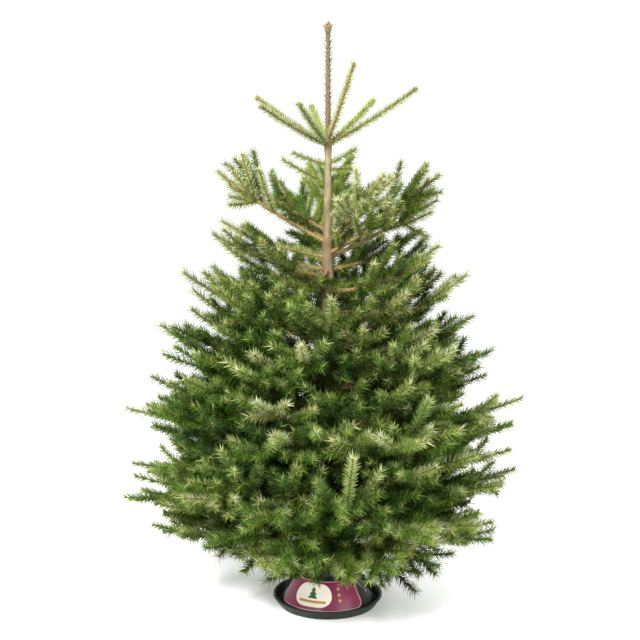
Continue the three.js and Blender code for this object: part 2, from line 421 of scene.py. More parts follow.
def grow_axis(wood, start, along, dorsal, length, years, depth, habit, tint):
    """Grows one axis for some years from a start, with the side axes at the end of each year's length."""
    shares = np.array([habit["vigour"] ** year for year in range(years)])
    shares /= shares.sum()
    count = BOUGH_POINTS if depth == 0 else SHOOT_POINTS
    lift = habit["lift"] * (1.0 if depth == 0 else habit["side_lift"])
    place, done = np.array(start), 0.0
    line, thickness = [place], [twig_radius(years - 0.4, depth, habit["stout"])]
    for year in range(years):
        age = years - 1 - year
        step = length * shares[year] * rng.uniform(0.9, 1.1)
        points = [place]
        for _ in range(count - 1):
            aside = np.cross(along, UP)
            if np.linalg.norm(aside) > 0.1:
                along = turned_about(along, aside, lift * shares[year] / (count - 1))
            along = unit(along + rng.normal(0, WANDER, 3))
            place = place + along * step / (count - 1)
            points.append(place)
        dorsal = unit(dorsal - np.dot(dorsal, along) * along)
        radii = (twig_radius(age, depth, habit["stout"]), twig_radius(age - 0.6, depth, habit["stout"]))
        kept = KEPT_BY_AGE[min(age, len(KEPT_BY_AGE) - 1)] * max(light_at(place), habit["shade_leaf"])
        if depth == 0 and age > 0:
            kept *= habit["bough_leaf"]
        needles = kept * step * NEEDLES_PER_METRE
        traits = {"age": age, "depth": depth, "tint": tint, "brush": habit["brush"], "size": habit["size"]}
        if depth < 2 or needles > FEWEST_NEEDLES:
            wood.add(points, radii, dorsal, needles, **traits)
        line.extend(points[1:])
        thickness.extend(np.linspace(*radii, count)[1:])
        done += shares[year]
        light = max(light_at(place), habit["shade_leaf"])
        if age == 0 or depth >= DEEPEST or (depth > 0 and light < DARK):
            continue
        left = max(length * (1 - done), length * shares[-1])
        whorl = habit["whorl"] if depth == 0 else SIDE_SHOOTS[depth]
        for slant, roll, share in whorl:
            if roll > 0 and (light < DIM or rng.random() > habit["bushy"]):
                continue
            side_years = max(1, age - (depth > 0) - (roll > 0))
            side_length = left * habit["side_share"] * share * rng.uniform(0.8, 1.15)
            grow_side(wood, place, along, dorsal, (slant, roll), side_length, side_years, depth, habit, tint)
        for _ in range(rng.poisson(habit["between"]) if depth < 2 and light > DIM else 0):
            spot = points[rng.integers(1, count)]
            turns = (rng.choice([-1, 1]) * rng.uniform(50, 66), rng.uniform(-10, 45))
            grow_side(wood, spot, along, dorsal, turns, step * rng.uniform(0.4, 0.7), 1, 1, habit, tint)
    if depth == 0:
        wood.boughs.append((np.array(line), thickness))


def grow_side(wood, place, along, dorsal, turns, length, years, depth, habit, tint):
    """Starts one side axis, slanted from its parent and rolled out of the bough's plane."""
    slant, roll = turns
    years = int(np.clip(length / SHORTEST_YEAR, 1, years))
    length = max(length, SHORTEST * rng.uniform(0.9, 1.3))
    angle = math.radians(slant + rng.uniform(-7, 7))
    lean = math.radians(roll + rng.uniform(-8, 8)) * np.sign(angle)
    across = turned_about(np.cross(along, dorsal), along, lean)
    rise = UP * habit["rising"] * rng.uniform(0.3, 1.7)
    heading = unit(along * math.cos(angle) + across * math.sin(angle) + rise)
    own_tint = tint if depth > 0 else pick_tint(place, habit["bough_shade"])
    grow_axis(wood, place, heading, facing_up(heading, dorsal), length, years, depth + 1, habit, own_tint)


# %% [markdown]
# ## Boughs in each tier
# Every mass of the construction model gets the bough that it stands for, from its root on the trunk to its
# tip, with a few lesser ones beside it. Boughs low on the tree lie nearly level, those near the top rise
# steeply, and all of them turn their tips up. Below the top a bough's side axes stay flatter than the bough,
# so that it makes one level fan.

# %% How each tier is furnished
TIER_RULES = {
    # years of growth, how far the tips turn up in degrees, lesser boughs beside the main one, how far the
    # tips stand above their mass's tip or hang below it, and the main bough's share of its mass's reach
    "second": {"years": 2, "lift": 10, "lesser": 1, "share": 0.93},
    "upper_mid": {"years": 3, "lift": 24, "lesser": 1, "droop": 0.02},
    "third": {"years": 3, "lift": 30, "lesser": 1, "droop": 0.03},
    "fourth": {"years": 4, "lift": 30, "lesser": 1},
    "fifth": {"years": 4, "lift": 22, "lesser": 2},
    "sixth": {"years": 4, "lift": 12, "lesser": 2},
    "lowest": {"years": 4, "lift": 10, "lesser": 1, "droop": 0.045},
}
SECOND_WHORL_SLOPE = 0.59  # rise over run of its bare boughs
SECOND_AT_BACK = {"beyond": math.radians(120), "lower": 0.05, "share": 0.85}  # its boughs that point away
LOW_BOUGHS = {("upper_mid", 3): -0.16, ("third", 4): -0.05}  # these hang so much lower than their tier
TOP_FROM = 1.36  # tips above this height belong to the open top, where shoots stand apart
FRONT = -math.pi / 2
side_room = [(-cad_box[0][i], cad_box[1][i]) for i in range(2)]
BOUGH_SHADES = 0.7  # how many tints apart neighbouring boughs are
END_NEEDLES = 0.03  # how far needles stand out beyond the end of a shoot


def half_turn(angle):
    """The same angle, between minus and plus a half turn."""
    return (angle + math.pi) % math.tau - math.pi


def off_front(heading):
    """How far a heading turns from the front, from nought to a half turn."""
    return abs(half_turn(heading - FRONT))


def room_at(heading):
    """How far a bough may reach with a heading before it leaves the construction model's box."""
    parts = (math.cos(heading), math.sin(heading))
    return min(side_room[i][part > 0] / max(abs(part), 0.1) for i, part in enumerate(parts)) - END_NEEDLES


print("room to the front:", round(room_at(FRONT), 2), "and to the sides:", round(room_at(0.0), 2))

# %% How shoots behave, and one bough


def habit_at(height, lift):
    """How shoots behave round a height: how they turn up, how bushy they are, and what shade leaves them."""
    top = height > TOP_FROM
    return {
        "lift": math.radians(lift),
        "side_lift": 1.0 if top else 0.25,  # the share of that lift in its side axes
        "vigour": 0.6 if top else 1.0,  # each year's length beside the year before
        "side_share": 1.0 if top else 0.8,  # a side axis's length beside what its parent still grows
        "whorl": TOP_WHORL if top else SIDE_SHOOTS[0],
        # how steeply side axes rise, how thick they are, how far round the needles stand, and their length
        "rising": 0.6 if top else float(np.interp(height, [0.25, 0.5, 0.9], [0.1, 0.17, 0.22])),
        "stout": float(np.interp(height, [0.9, 1.4], [1.0, 2.1])),
        "brush": float(np.interp(height, [0.7, 1.5], [0.7, 0.8])),
        "size": float(np.interp(height, [0.9, 1.5], [1.12, 0.9])),
        "shade_leaf": 0.8 if top else 0.34,  # the share of needles kept in full shade
        "bough_leaf": 0.5 if top else 1.0,  # and on the older lengths of the bough itself
        "between": 5.5 if top else 0.6,  # short shoots between two whorls, on average
        "bushy": 1.0 if top else 0.3,  # the share of side shoots above the bough's plane that grow
    }


def grow_bough(wood, heading, root, tip_height, reach, years, habit):
    """One bough from the trunk to its tip."""
    shade = bough_rng.normal(0, BOUGH_SHADES) * (0.5 if tip_height > TOP_FROM else 1.0)
    habit = {"bough_shade": shade, **habit}
    reach = min(reach, room_at(heading))
    start = trunk_centre(root)
    tip = np.array([reach * math.cos(heading), reach * math.sin(heading), tip_height])
    chord = tip - start
    flat = unit(np.array([chord[0], chord[1], 0.0]))
    rise_angle = math.atan2(chord[2], np.linalg.norm(chord[:2])) - habit["lift"] / 2
    along = flat * math.cos(rise_angle) + UP * math.sin(rise_angle)
    start = start + along * trunk_radius(root) * 0.7
    length = np.linalg.norm(tip - start)
    tint = pick_tint(tip, habit["bough_shade"])
    grow_axis(wood, start, along, facing_up(along), length, years, 0, habit, tint)


# %% The boughs of every mass
woods = {}
for tier_name, limbs in tiers.items():
    rule = TIER_RULES[tier_name]
    for i, limb in enumerate(limbs):
        wood = woods[tier_name, i] = Wood()
        habit = habit_at(limb["tip"], rule["lift"])
        tip = limb["tip"] + rule.get("droop", 0.0) + LOW_BOUGHS.get((tier_name, i), 0.0)
        if (tier_name, i) in LOW_BOUGHS:
            habit["bushy"] = 0.0
        if tier_name == "second":
            tip = limb["root"] + SECOND_WHORL_SLOPE * limb["reach"]
        main_reach = limb["reach"] * rule.get("share", 1.0)
        if tier_name == "second" and off_front(limb["heading"]) > SECOND_AT_BACK["beyond"]:
            tip -= SECOND_AT_BACK["lower"]
            main_reach *= SECOND_AT_BACK["share"]
        grow_bough(wood, limb["heading"], limb["root"], tip, main_reach, rule["years"], habit)
        for number in range(0 if (tier_name, i) in LOW_BOUGHS else rule["lesser"]):
            turn = math.radians(rng.choice([-1, 1]) * rng.uniform(14, 30))
            if tier_name == "second" and off_front(limb["heading"] + turn) < off_front(limb["heading"]):
                turn = -turn
            share = rng.uniform(0.82, 0.98)
            rise = rng.uniform(-0.05, 0.05)
            root = limb["root"] + rise
            reach = limb["reach"] * share
            lesser_tip = root + (tip - limb["root"]) * share + rise / 2
            years = max(2, rule["years"] - 1)
            grow_bough(wood, limb["heading"] + turn, root, lesser_tip, reach, years, habit)
print("masses furnished:", len(woods), "with", sum(len(wood.shoots) for wood in woods.values()), "shoots")

# %% [markdown]
# ## Boughs between the whorls
# Between two whorls a fir carries many thinner boughs, spread round the trunk, and they are what makes a
# good Christmas tree dense. They stand in loose layers with dark gaps between, a golden angle apart, so that
# no two neighbours head the same way, and they belong to whichever mass lies nearest. A short one stands
# between two layers here and there. Those that head straight for the front are shorter, and leave a dark
# hollow there.

# %% The filling boughs
FILLING_LAYERS = [0.26, 0.34, 0.45, 0.55, 0.66, 0.76, 0.87, 0.97, 1.08]
LAYER_BOUGHS = 14
INNER = {"every": 6, "above": 0.05, "share": 0.62}  # short boughs halfway between two layers
HOLLOW = {"half_angle": math.radians(24), "from": 0.6, "to": 1.16, "share": 0.7}
GOLDEN_ANGLE = math.radians(137.508)
PER_RADIAN, PER_METRE = 0.6, 2  # how much a turn and a height count when the nearest mass is looked for
REACH_PER_YEAR = 0.145  # what a thin bough grows in a year


def nearest_mass(heading, height):
    """The key of the mass whose limb tip is nearest to a tip's heading and height."""

    def distance(key):
        limb = tiers[key[0]][key[1]]
        turn = half_turn(limb["heading"] - heading)
        return math.hypot(turn * PER_RADIAN, (limb["tip"] - height) * PER_METRE)

    return min(((name, i) for name in tiers for i in range(len(tiers[name]))), key=distance)


for number in range(len(FILLING_LAYERS) * LAYER_BOUGHS):
    root = FILLING_LAYERS[number // LAYER_BOUGHS] + rng.normal(0, 0.014)
    heading = number * GOLDEN_ANGLE + rng.normal(0, 0.1)
    slope = np.interp(root, [0.2, 0.6, 1.2], [0.06, 0.27, 0.5]) + rng.normal(0, 0.025)
    guess = crown_reach(root)
    tip = root + guess * slope
    waist = np.interp(tip, [0.8, 1.0, 1.2], [1.0, 0.88, 1.02])
    across = 1 + 0.075 * math.cos(2 * heading)
    reach = crown_reach(tip) * waist * across * rng.uniform(0.88, 1.01)
    if off_front(heading) < HOLLOW["half_angle"] and tip > HOLLOW["to"]:
        continue
    if off_front(heading) < HOLLOW["half_angle"] and tip > HOLLOW["from"]:
        reach *= HOLLOW["share"]
    if number % INNER["every"] == 0:
        root += INNER["above"]
        reach *= INNER["share"]
    tip = root + reach * slope
    years = int(np.clip(round(reach / REACH_PER_YEAR), 2, 4))
    lift = float(np.interp(root, [0.2, 0.9], [10, 30]))
    key = nearest_mass(heading, tip)
    grow_bough(woods[key], heading, root, tip, reach, years, habit_at(tip, lift))
print("shoots after filling:", sum(len(wood.shoots) for wood in woods.values()))

# %% [markdown]
# ## Sprays that stand up in front
# A few boughs round the front turn well up at their ends, and hold broad light sprays in front of the rest.

# %% The standing sprays
STANDING = [
    # heading in degrees, height of the root and of the tip, reach, and how far the tip turns up in degrees
    (-80, 0.27, 0.62, 0.57, 62),
    (-126, 0.3, 0.67, 0.6, 52),
    (-53, 0.42, 0.79, 0.6, 42),
]
STANDING_HABIT = {"bough_shade": 0.5, "shade_leaf": 0.7, "bushy": 0.15}
STANDING_YEARS = 3
for turn, root, tip, reach, lift in STANDING:
    heading = math.radians(turn)
    habit = {**habit_at(tip, lift), **STANDING_HABIT}
    grow_bough(woods[nearest_mass(heading, tip)], heading, root, tip, reach, STANDING_YEARS, habit)
counts = {name: sum(len(woods[name, i].shoots) for i in range(len(tiers[name]))) for name in tiers}
print("shoots by tier:", counts, "together", sum(counts.values()))

# %% [markdown]
# ## The leader and the leading whorl
# The newest whorl is seven straight shoots, one year old, round the foot of the leader. Needles in full sun
# stand all the way round the shoot and are shorter. The leader itself carries few needles, pressed to it. A
# few single shoots stand on the trunk just below.

# %% Straight shoots
SAG = 0.08  # four times the sag in the middle of a shoot, beside its length
LEADER = {"foot": 1.6, "top": 1.98, "needles": 230, "size": 0.85}
WHORL_DENSITY = 1.4  # the newest whorl's needles per metre beside other shoots'
TRUNK_SHOOTS = [
    # height on the trunk, heading in degrees, length, rise in degrees
    (1.527, 180, 0.122, 18),
    (1.529, 6, 0.105, 28),
    (1.512, -35, 0.085, 2),
    (1.463, 187, 0.17, 28),
    (1.452, 40, 0.15, 42),
    (1.39, 330, 0.12, 30),
]


def straight_shoot(wood, start, tip, radii, needles, **traits):
    """One shoot of this year from start to tip, with a slight sag."""
    start, tip = np.array(start), np.array(tip)
    points = []
    for share in np.linspace(0, 1, BOUGH_POINTS + 2):
        sag = UP * SAG * np.linalg.norm(tip - start) * share * (1 - share)
        points.append(start + (tip - start) * share - sag)
    wood.add(points, radii, facing_up(unit(tip - start)), needles, age=0, depth=1, **traits)


leading = woods["leading", 0] = Wood()
for name in leading_names:
    corners = vertices_of(name)
    outward = np.linalg.norm(corners[:, :2], axis=1)
    tip = corners[outward > outward.max() - 0.012].mean(0)
    start = trunk_centre(float(corners[outward < outward.min() + 0.006][:, 2].mean()))
    count = np.linalg.norm(tip - start) * NEEDLES_PER_METRE * WHORL_DENSITY
    straight_shoot(leading, start, tip, (4.8 * MM, 3.6 * MM), count, tint=0, brush=0.9, size=0.8)
for height, turn, length, rise in TRUNK_SHOOTS:
    heading, slope = math.radians(turn), math.radians(rise)
    flat = np.array([math.cos(heading), math.sin(heading), 0.0])
    start = trunk_centre(height)
    tip = start + (flat * math.cos(slope) + UP * math.sin(slope)) * length
    count = length * NEEDLES_PER_METRE
    straight_shoot(leading, start, tip, (2.6 * MM, 2.0 * MM), count, tint=1, brush=0.8, size=0.85)
leader_line = [trunk_centre(LEADER["foot"]), trunk_centre(LEADER["top"])]
to_front = np.array([0.0, -1.0, 0.0])
traits = {"age": 1, "depth": -1, "tint": 4, "brush": 1.0, "size": LEADER["size"]}
leading.add(leader_line, (4 * MM, 3 * MM), to_front, LEADER["needles"], **traits)
print("leading whorl:", len(leading.shoots), "shoots")

# %% [markdown]
# ## From shoots to meshes of lines
# Geometry Nodes work on a mesh of bare edges: one short chain for each shoot, whose points carry what the
# nodes need. That is the shoot's direction, its sky side, how far along the point lies, the spray's tint,
# the shoot's radius, the number of needles on it and their size, and how far round it they stand, from a
# flat comb to a brush.

# %% Chains with attributes
ATTRIBUTES = {
    "axis": "FLOAT_VECTOR",
    "dorsal": "FLOAT_VECTOR",
    "along": "FLOAT",
    "tint": "FLOAT",
    "thick": "FLOAT",
    "needles": "FLOAT",
    "brush": "FLOAT",
    "size": "FLOAT",
}


def chain_mesh(name, shoots):
    """A mesh of chains of edges, with each point's attributes."""
    places, edges = [], []
    values = {key: [] for key in ATTRIBUTES}
    for shoot in shoots:
        points = shoot["points"]
        first, count = len(places), len(points)
        places.extend(points)
        edges.extend((first + i, first + i + 1) for i in range(count - 1))
        steps = np.diff(points, axis=0)
        axes = np.vstack([steps, steps[-1:]])
        shares = np.linspace(0, 1, count)
        values["axis"].extend(axes / np.linalg.norm(axes, axis=1, keepdims=True))
        values["dorsal"].extend([shoot["dorsal"]] * count)
        values["along"].extend(shares)
        values["thick"].extend(np.interp(shares, np.linspace(0, 1, len(shoot["radii"])), shoot["radii"]))
        for key in ("tint", "needles", "brush", "size"):
            values[key].extend([float(shoot[key])] * count)
    mesh = bpy.data.meshes.new(name)
    mesh.from_pydata([tuple(place) for place in places], edges, [])
    for key, kind in ATTRIBUTES.items():
        attribute = mesh.attributes.new(key, kind, "POINT")
        field = "vector" if kind == "FLOAT_VECTOR" else "value"
        attribute.data.foreach_set(field, np.array(values[key], dtype=np.float32).ravel())
    return add_object(name, mesh)


def made_plain(piece, group, settings):
    """Runs a node group on a piece, keeps the result as the piece's plain mesh, and drops the modifier."""
    modifier = piece.modifiers.new(group.name, "NODES")
    modifier.node_group = group
    sockets = [item for item in group.interface.items_tree if item.item_type == "SOCKET"]
    identifiers = {item.name: item.identifier for item in sockets}
    for name, value in settings.items():
        modifier[identifiers[name]] = value
    evaluated = piece.evaluated_get(bpy.context.evaluated_depsgraph_get())
    plain = bpy.data.meshes.new_from_object(evaluated)
    piece.modifiers.remove(modifier)
    old = piece.data
    piece.data = plain
    bpy.data.meshes.remove(old)
    plain.name = piece.name
    for name in [*ATTRIBUTES, "pale"]:
        if name in plain.attributes:
            plain.attributes.remove(plain.attributes[name])
    return piece


def new_group(name, inputs):
    """An empty Geometry Nodes group with a geometry in and out, and named inputs."""
    group = bpy.data.node_groups.new(name, "GeometryNodeTree")
    group.interface.new_socket("Geometry", in_out="INPUT", socket_type="NodeSocketGeometry")
    for label, (kind, default) in inputs.items():
        socket = group.interface.new_socket(label, in_out="INPUT", socket_type=kind)
        if default is not None:
            socket.default_value = default
    group.interface.new_socket("Geometry", in_out="OUTPUT", socket_type="NodeSocketGeometry")
    return group


def realized_copies(tree, piece, placed):
    """Sets a copy of a piece on each point, as real geometry. The last argument holds points and turns."""
    prototype = node(tree, "GeometryNodeObjectInfo", {"Object": piece, "As Instance": True})
    copied = {"Instance": prototype.outputs["Geometry"], **placed}
    return node(
        tree, "GeometryNodeRealizeInstances", {"Geometry": node(tree, "GeometryNodeInstanceOnPoints", copied)}
    )


# %% [markdown]
# ## The needle
# A Nordmann needle is flat, up to 30 mm long and 2 mm wide, dark and waxy above and pale below. Here it is
# two long triangles back to back, joined at the twig: one is the upper face, the other the underside. It is
# drawn wide at the twig and narrows to its tip, so its mean width is the real needle's. Low on the tree it is
# a little longer than at the top. Two faces are few enough for half a million needles.

# %% One needle
NEEDLE_LENGTH = 30 * MM
NEEDLE_WIDTH = 4.2 * MM
NEEDLE_DEPTH = 0.6 * MM

needle_mesh = bpy.data.meshes.new("needle")
needle_mesh.from_pydata(
    [(-0.5, 0, 0), (0.5, 0, 0), (0, 0.5, 1), (0, -0.5, 1)],
    [],
    [(1, 0, 2), (0, 1, 3)],
)
needle_mesh.transform(Matrix.Diagonal((NEEDLE_WIDTH, NEEDLE_DEPTH, NEEDLE_LENGTH, 1)))
pale = needle_mesh.attributes.new("pale", "BOOLEAN", "FACE")
pale.data.foreach_set("value", [False, True])
print("the upper face looks to the sky:", needle_mesh.polygons[0].normal.y > 0)
needle = bpy.data.objects.new("needle", needle_mesh)

WAXY = {"Specular_IOR_Level": 0.22}
top_materials, under_materials = [], []
for number, colour in enumerate(TOP_COLOURS, start=1):
    top_materials.append(new_material(f"needle_upper_face_{number}", colour, 0.5, **WAXY))
for number, colour in enumerate(UNDER_COLOURS, start=1):
    under_materials.append(new_material(f"needle_waxy_underside_{number}", colour, 0.62, **WAXY))

# %% [markdown]
# ## Needles round a shoot
# The nodes turn each chain into a curve, spread points along it and put one needle on each. Successive
# needles are a golden angle apart, as on the plant. Needles on top of the shoot lean forward, those at its
# sides stand out like a comb's teeth, and the ones from below bend round to the sides, which leaves the twig
# bare underneath. Each is twisted a little about itself. At the end of a shoot they close up round the bud,
# and the last ones are a shade lighter.

# %% The needle group


NEEDLE_INPUTS = {
    "Needle": ("NodeSocketObject", None),
    "Comb Spread": ("NodeSocketFloat", 125.0),
    "Brush Spread": ("NodeSocketFloat", 180.0),
    "Forward Angle": ("NodeSocketFloat", 47.0),
    "Side Angle": ("NodeSocketFloat", 58.0),
    "Twist": ("NodeSocketFloat", 0.9),
    "Tint Mix": ("NodeSocketFloat", 0.85),
    "Tip Lightening": ("NodeSocketFloat", 1.2),
    "Seed": ("NodeSocketInt", 7),
}
GOLDEN_SHARE = 0.618034


def needle_group():
    """Clothes chains with needles."""
    tree = new_group("needles_on_shoots", NEEDLE_INPUTS)
    given = node(tree, "NodeGroupInput").outputs
    made = {"index": node(tree, "GeometryNodeInputIndex")}
    for name, kind in [*ATTRIBUTES.items(), ("pale", "BOOLEAN")]:
        made[name] = node(tree, "GeometryNodeInputNamedAttribute", {"Name": name}, data_type=kind)
    for offset, name in enumerate(("turn", "lean", "length", "tint", "twist"), start=1):
        seed = node(tree, "ShaderNodeMath", {0: given["Seed"], 1: offset}, operation="ADD")
        limits = {"Seed": seed, 2: -1.0, 3: 1.0}
        made[name + " chance"] = node(tree, "FunctionNodeRandomValue", limits, data_type="FLOAT")
    for name, start, end, first, last in (
        # what changes along a shoot, where its change begins and ends, and its value at both places
        ("lighter", 0.75, 1.0, 0.0, given["Tip Lightening"]),
        ("closing", 0.85, 1.0, 1.0, 0.72),
        ("shorter", 0.0, 0.15, 0.72, 1.0),
    ):
        span = {"Value": made["along"], "From Min": start, "From Max": end, "To Min": first, "To Max": last}
        made[name] = node(tree, "ShaderNodeMapRange", span, interpolation_type="SMOOTHSTEP")
    numbers = [
        # sideways runs from -1 to 1, a golden share further with each needle
        ("sideways", "MULTIPLY", "index", GOLDEN_SHARE),
        ("sideways", "FRACT", "sideways"),
        ("sideways", "MULTIPLY_ADD", "sideways", 2.0, -1.0),
        # the turn round the shoot from its sky side
        ("widening", "SUBTRACT", given["Brush Spread"], given["Comb Spread"]),
        ("spread", "MULTIPLY_ADD", "brush", "widening", given["Comb Spread"]),
        ("spread", "RADIANS", "spread"),
        ("turn", "MULTIPLY", "sideways", "spread"),
        ("turn", "MULTIPLY_ADD", "turn chance", 0.14, "turn"),
        # the lean away from the shoot's axis
        ("opening", "SUBTRACT", given["Side Angle"], given["Forward Angle"]),
        ("lean", "ABSOLUTE", "sideways"),
        ("lean", "MULTIPLY_ADD", "lean", "opening", given["Forward Angle"]),
        ("lean", "MULTIPLY_ADD", "lean chance", 9.0, "lean"),
        ("lean", "MULTIPLY", "lean", "closing"),
        ("lean", "RADIANS", "lean"),
        # both as parts of a direction, where needles of a comb can't point down
        ("lowest", "MULTIPLY_ADD", "brush", -0.8, -0.2),
        ("upward", "COSINE", "turn"),
        ("upward", "MAXIMUM", "upward", "lowest"),
        ("outward", "SINE", "turn"),
        ("ahead", "COSINE", "lean"),
        ("aside", "SINE", "lean"),
        # length, tint and twist
        ("length", "MULTIPLY_ADD", "length chance", 0.14, 0.96),
        ("length", "MULTIPLY", "length", "shorter"),
        ("length", "MULTIPLY", "length", "size"),
        ("shade", "MULTIPLY_ADD", "tint chance", given["Tint Mix"], "tint"),
        ("shade", "SUBTRACT", "shade", "lighter"),
        ("shade", "ROUND", "shade"),
        ("shade", "MAXIMUM", "shade", 0.0),
        ("shade", "MINIMUM", "shade", len(TOP_COLOURS) - 1.0),
        ("twist", "MULTIPLY", "twist chance", given["Twist"]),
    ]
    work_out(tree, made, "ShaderNodeMath", numbers)
    directions = [
        ("lateral", "CROSS_PRODUCT", "axis", "dorsal"),
        ("out", "MULTIPLY", "dorsal", "upward"),
        ("out", "MULTIPLY_ADD", "lateral", "outward", "out"),
        ("out", "NORMALIZE", "out"),
        ("direction", "MULTIPLY", "axis", "ahead"),
        ("direction", "MULTIPLY_ADD", "out", "aside", "direction"),
        ("sky side", "MULTIPLY_ADD", "axis", (-0.3, -0.3, -0.3), "dorsal"),
    ]
    work_out(tree, made, "ShaderNodeVectorMath", directions)
    curve = node(tree, "GeometryNodeMeshToCurve", {"Mesh": given["Geometry"]})
    spots = node(tree, "GeometryNodeResampleCurve", {"Curve": curve, "Count": made["needles"]}, mode="COUNT")
    tinted = {"Geometry": spots, "Name": "tint", "Value": made["shade"]}
    spots = node(tree, "GeometryNodeStoreNamedAttribute", tinted, data_type="FLOAT", domain="POINT")
    facing = {"Primary Axis": made["direction"], "Secondary Axis": made["sky side"]}
    rotation = node(tree, "FunctionNodeAxesToRotation", facing, primary_axis="Z", secondary_axis="Y")
    twist = node(tree, "FunctionNodeAxisAngleToRotation", {"Axis": (0, 0, 1), "Angle": made["twist"]})
    both = {"Rotation": rotation, "Rotate By": twist}
    rotation = node(tree, "FunctionNodeRotateRotation", both, rotation_space="LOCAL")
    scale = node(tree, "ShaderNodeCombineXYZ", {"X": 1.0, "Y": 1.0, "Z": made["length"]})
    needle_at = {"Points": spots, "Rotation": rotation, "Scale": scale}
    result = realized_copies(tree, given["Needle"], needle_at)
    is_dark = node(tree, "FunctionNodeBooleanMath", {0: made["pale"]}, operation="NOT")
    for i, pair in enumerate(zip(top_materials, under_materials, strict=True)):
        tint_is = {0: made["tint"], 1: float(i), "Epsilon": 0.1}
        mine = node(tree, "FunctionNodeCompare", tint_is, operation="EQUAL")
        for side, material in zip((is_dark, made["pale"]), pair, strict=True):
            chosen = node(tree, "FunctionNodeBooleanMath", {0: mine, 1: side}, operation="AND")
            dyed = {"Geometry": result, "Selection": chosen, "Material": material}
            result = node(tree, "GeometryNodeSetMaterial", dyed)
    node(tree, "NodeGroupOutput", {"Geometry": result})
    return tree


needles_on_shoots = needle_group()
print(needles_on_shoots.name, "has", len(needles_on_shoots.nodes), "nodes")

# %% Clothing every tier
TRIANGLE_LIMIT = 190_000  # for one piece, at the most
NEEDLE_TRIANGLES = 2
FRESH_TIER = "second"  # it has fresh needles, like the leading whorl


def clothe(name, shoots, slot, replaced, **settings):
    """One piece of needles for some shoots."""
    clothed = [shoot for shoot in shoots if shoot["needles"] >= FEWEST_NEEDLES]
    piece = chain_mesh(name, clothed)
    made_plain(piece, needles_on_shoots, {"Needle": needle, **settings})
    ship(piece, slot, *replaced)
    return len(piece.data.polygons)


def batches(keys):
    """Splits a tier's masses into runs that each stay under the limit of triangles."""
    runs, run, count = [], [], 0
    for key in keys:
        mine = sum(shoot["needles"] for shoot in woods[key].shoots) * NEEDLE_TRIANGLES
        if run and count + mine > TRIANGLE_LIMIT:
            runs.append(run)
            run, count = [], 0
        run.append(key)
        count += mine
    return runs + [run]


triangles = {}
for tier_name, limbs in tiers.items():
    slot = "fresh_needles" if tier_name == FRESH_TIER else "needles"
    for number, run in enumerate(batches([(tier_name, i) for i in range(len(limbs))])):
        name = f"needles_{tier_name}_{number + 1}"
        shoots = [shoot for key in run for shoot in woods[key].shoots]
        replaced = [mass for key in run for mass in tiers[key[0]][key[1]]["masses"]]
        triangles[name] = clothe(name, shoots, slot, replaced)
leader_shoots = [shoot for shoot in leading.shoots if shoot["depth"] < 0]
whorl_shoots = [shoot for shoot in leading.shoots if shoot["depth"] >= 0]
even_tips = {"Tip Lightening": 0.3}
flat_lean = {"Forward Angle": 46.0, "Side Angle": 50.0, "Tip Lightening": 0.0}
for name, shoots, replaced, settings in (
    ("needles_leading", whorl_shoots, leading_names, even_tips),
    ("needles_leader", leader_shoots, [], flat_lean),
):
    triangles[name] = clothe(name, shoots, "fresh_needles", replaced, **settings)
print("needle triangles:", triangles, "total", sum(triangles.values()))

# %% [markdown]
# ## Twigs and boughs
# The same chains, swept with a small polygon, give the twigs. Young fir twigs are smooth and orange-brown,
# and so thin that three sides are enough. A bough is one line from the trunk to its last bud, with more
# sides, and a bark that is smooth but for low blisters.

# %% Bark of twigs and boughs


def bark_material(name, stops, speckle, relief, across=1.0):
    """Young fir bark. Stops are heights in metres with colours, as bark greys down the tree. Its spots are
    speckle metres wide, drawn out round the stem by across. Relief is the height of its blisters."""
    material = new_material(name, stops[0][1], 0.75, Specular_IOR_Level=0.3)
    tree = material.node_tree
    place = node(tree, "ShaderNodeTexCoord").outputs["Object"]
    height = node(tree, "ShaderNodeSeparateXYZ", {0: place}).outputs["Z"]
    share = node(tree, "ShaderNodeMath", {0: height, 1: TREE_TOP}, operation="DIVIDE")
    by_height = node(tree, "ShaderNodeValToRGB", {"Fac": share})
    marks = by_height.color_ramp.elements
    while len(marks) < len(stops):
        marks.new(0.5)
    for mark, (stop, colour) in zip(marks, stops, strict=True):
        mark.position = stop / TREE_TOP
        mark.color = linear(colour)
    squashed = node(tree, "ShaderNodeMapping", {"Vector": place, "Scale": (1.0, 1.0, across)})
    patches = node(tree, "ShaderNodeTexNoise", {"Vector": squashed, "Scale": 0.12 / speckle, "Detail": 3.0})
    spots = node(tree, "ShaderNodeTexNoise", {"Vector": squashed, "Scale": 0.5 / speckle, "Detail": 4.0})
    both = node(tree, "ShaderNodeMath", {0: patches, 1: spots}, operation="ADD")
    mottling = {"Value": both, "From Min": 0.8, "From Max": 1.2, "To Min": 0.6, "To Max": 1.35}
    value = node(tree, "ShaderNodeMapRange", mottling)
    varied = node(tree, "ShaderNodeHueSaturation", {"Color": by_height, "Value": value})
    tan = node(tree, "ShaderNodeAttribute", attribute_name="tan").outputs["Fac"]
    tanned = {"Factor": tan, "A": varied, "B": linear("#624a31")}
    surface(
        material,
        Base_Color=node(tree, "ShaderNodeMix", tanned, data_type="RGBA"),
        Roughness=node(tree, "ShaderNodeMapRange", {"Value": spots, "To Min": 0.6, "To Max": 0.9}),
        Normal=node(tree, "ShaderNodeBump", {"Height": spots, "Distance": relief, "Strength": 0.8}),
    )
    return material


# Shoots of the last two years: smooth and orange-brown, which shows as a warm line down each spray.
TWIG_STOPS = [(0.3, "#6a4424"), (1.1, "#77502c"), (1.5, "#80582f")]
twig_bark = bark_material("smooth_fir_twig", TWIG_STOPS, 4 * MM, 0.2 * MM)
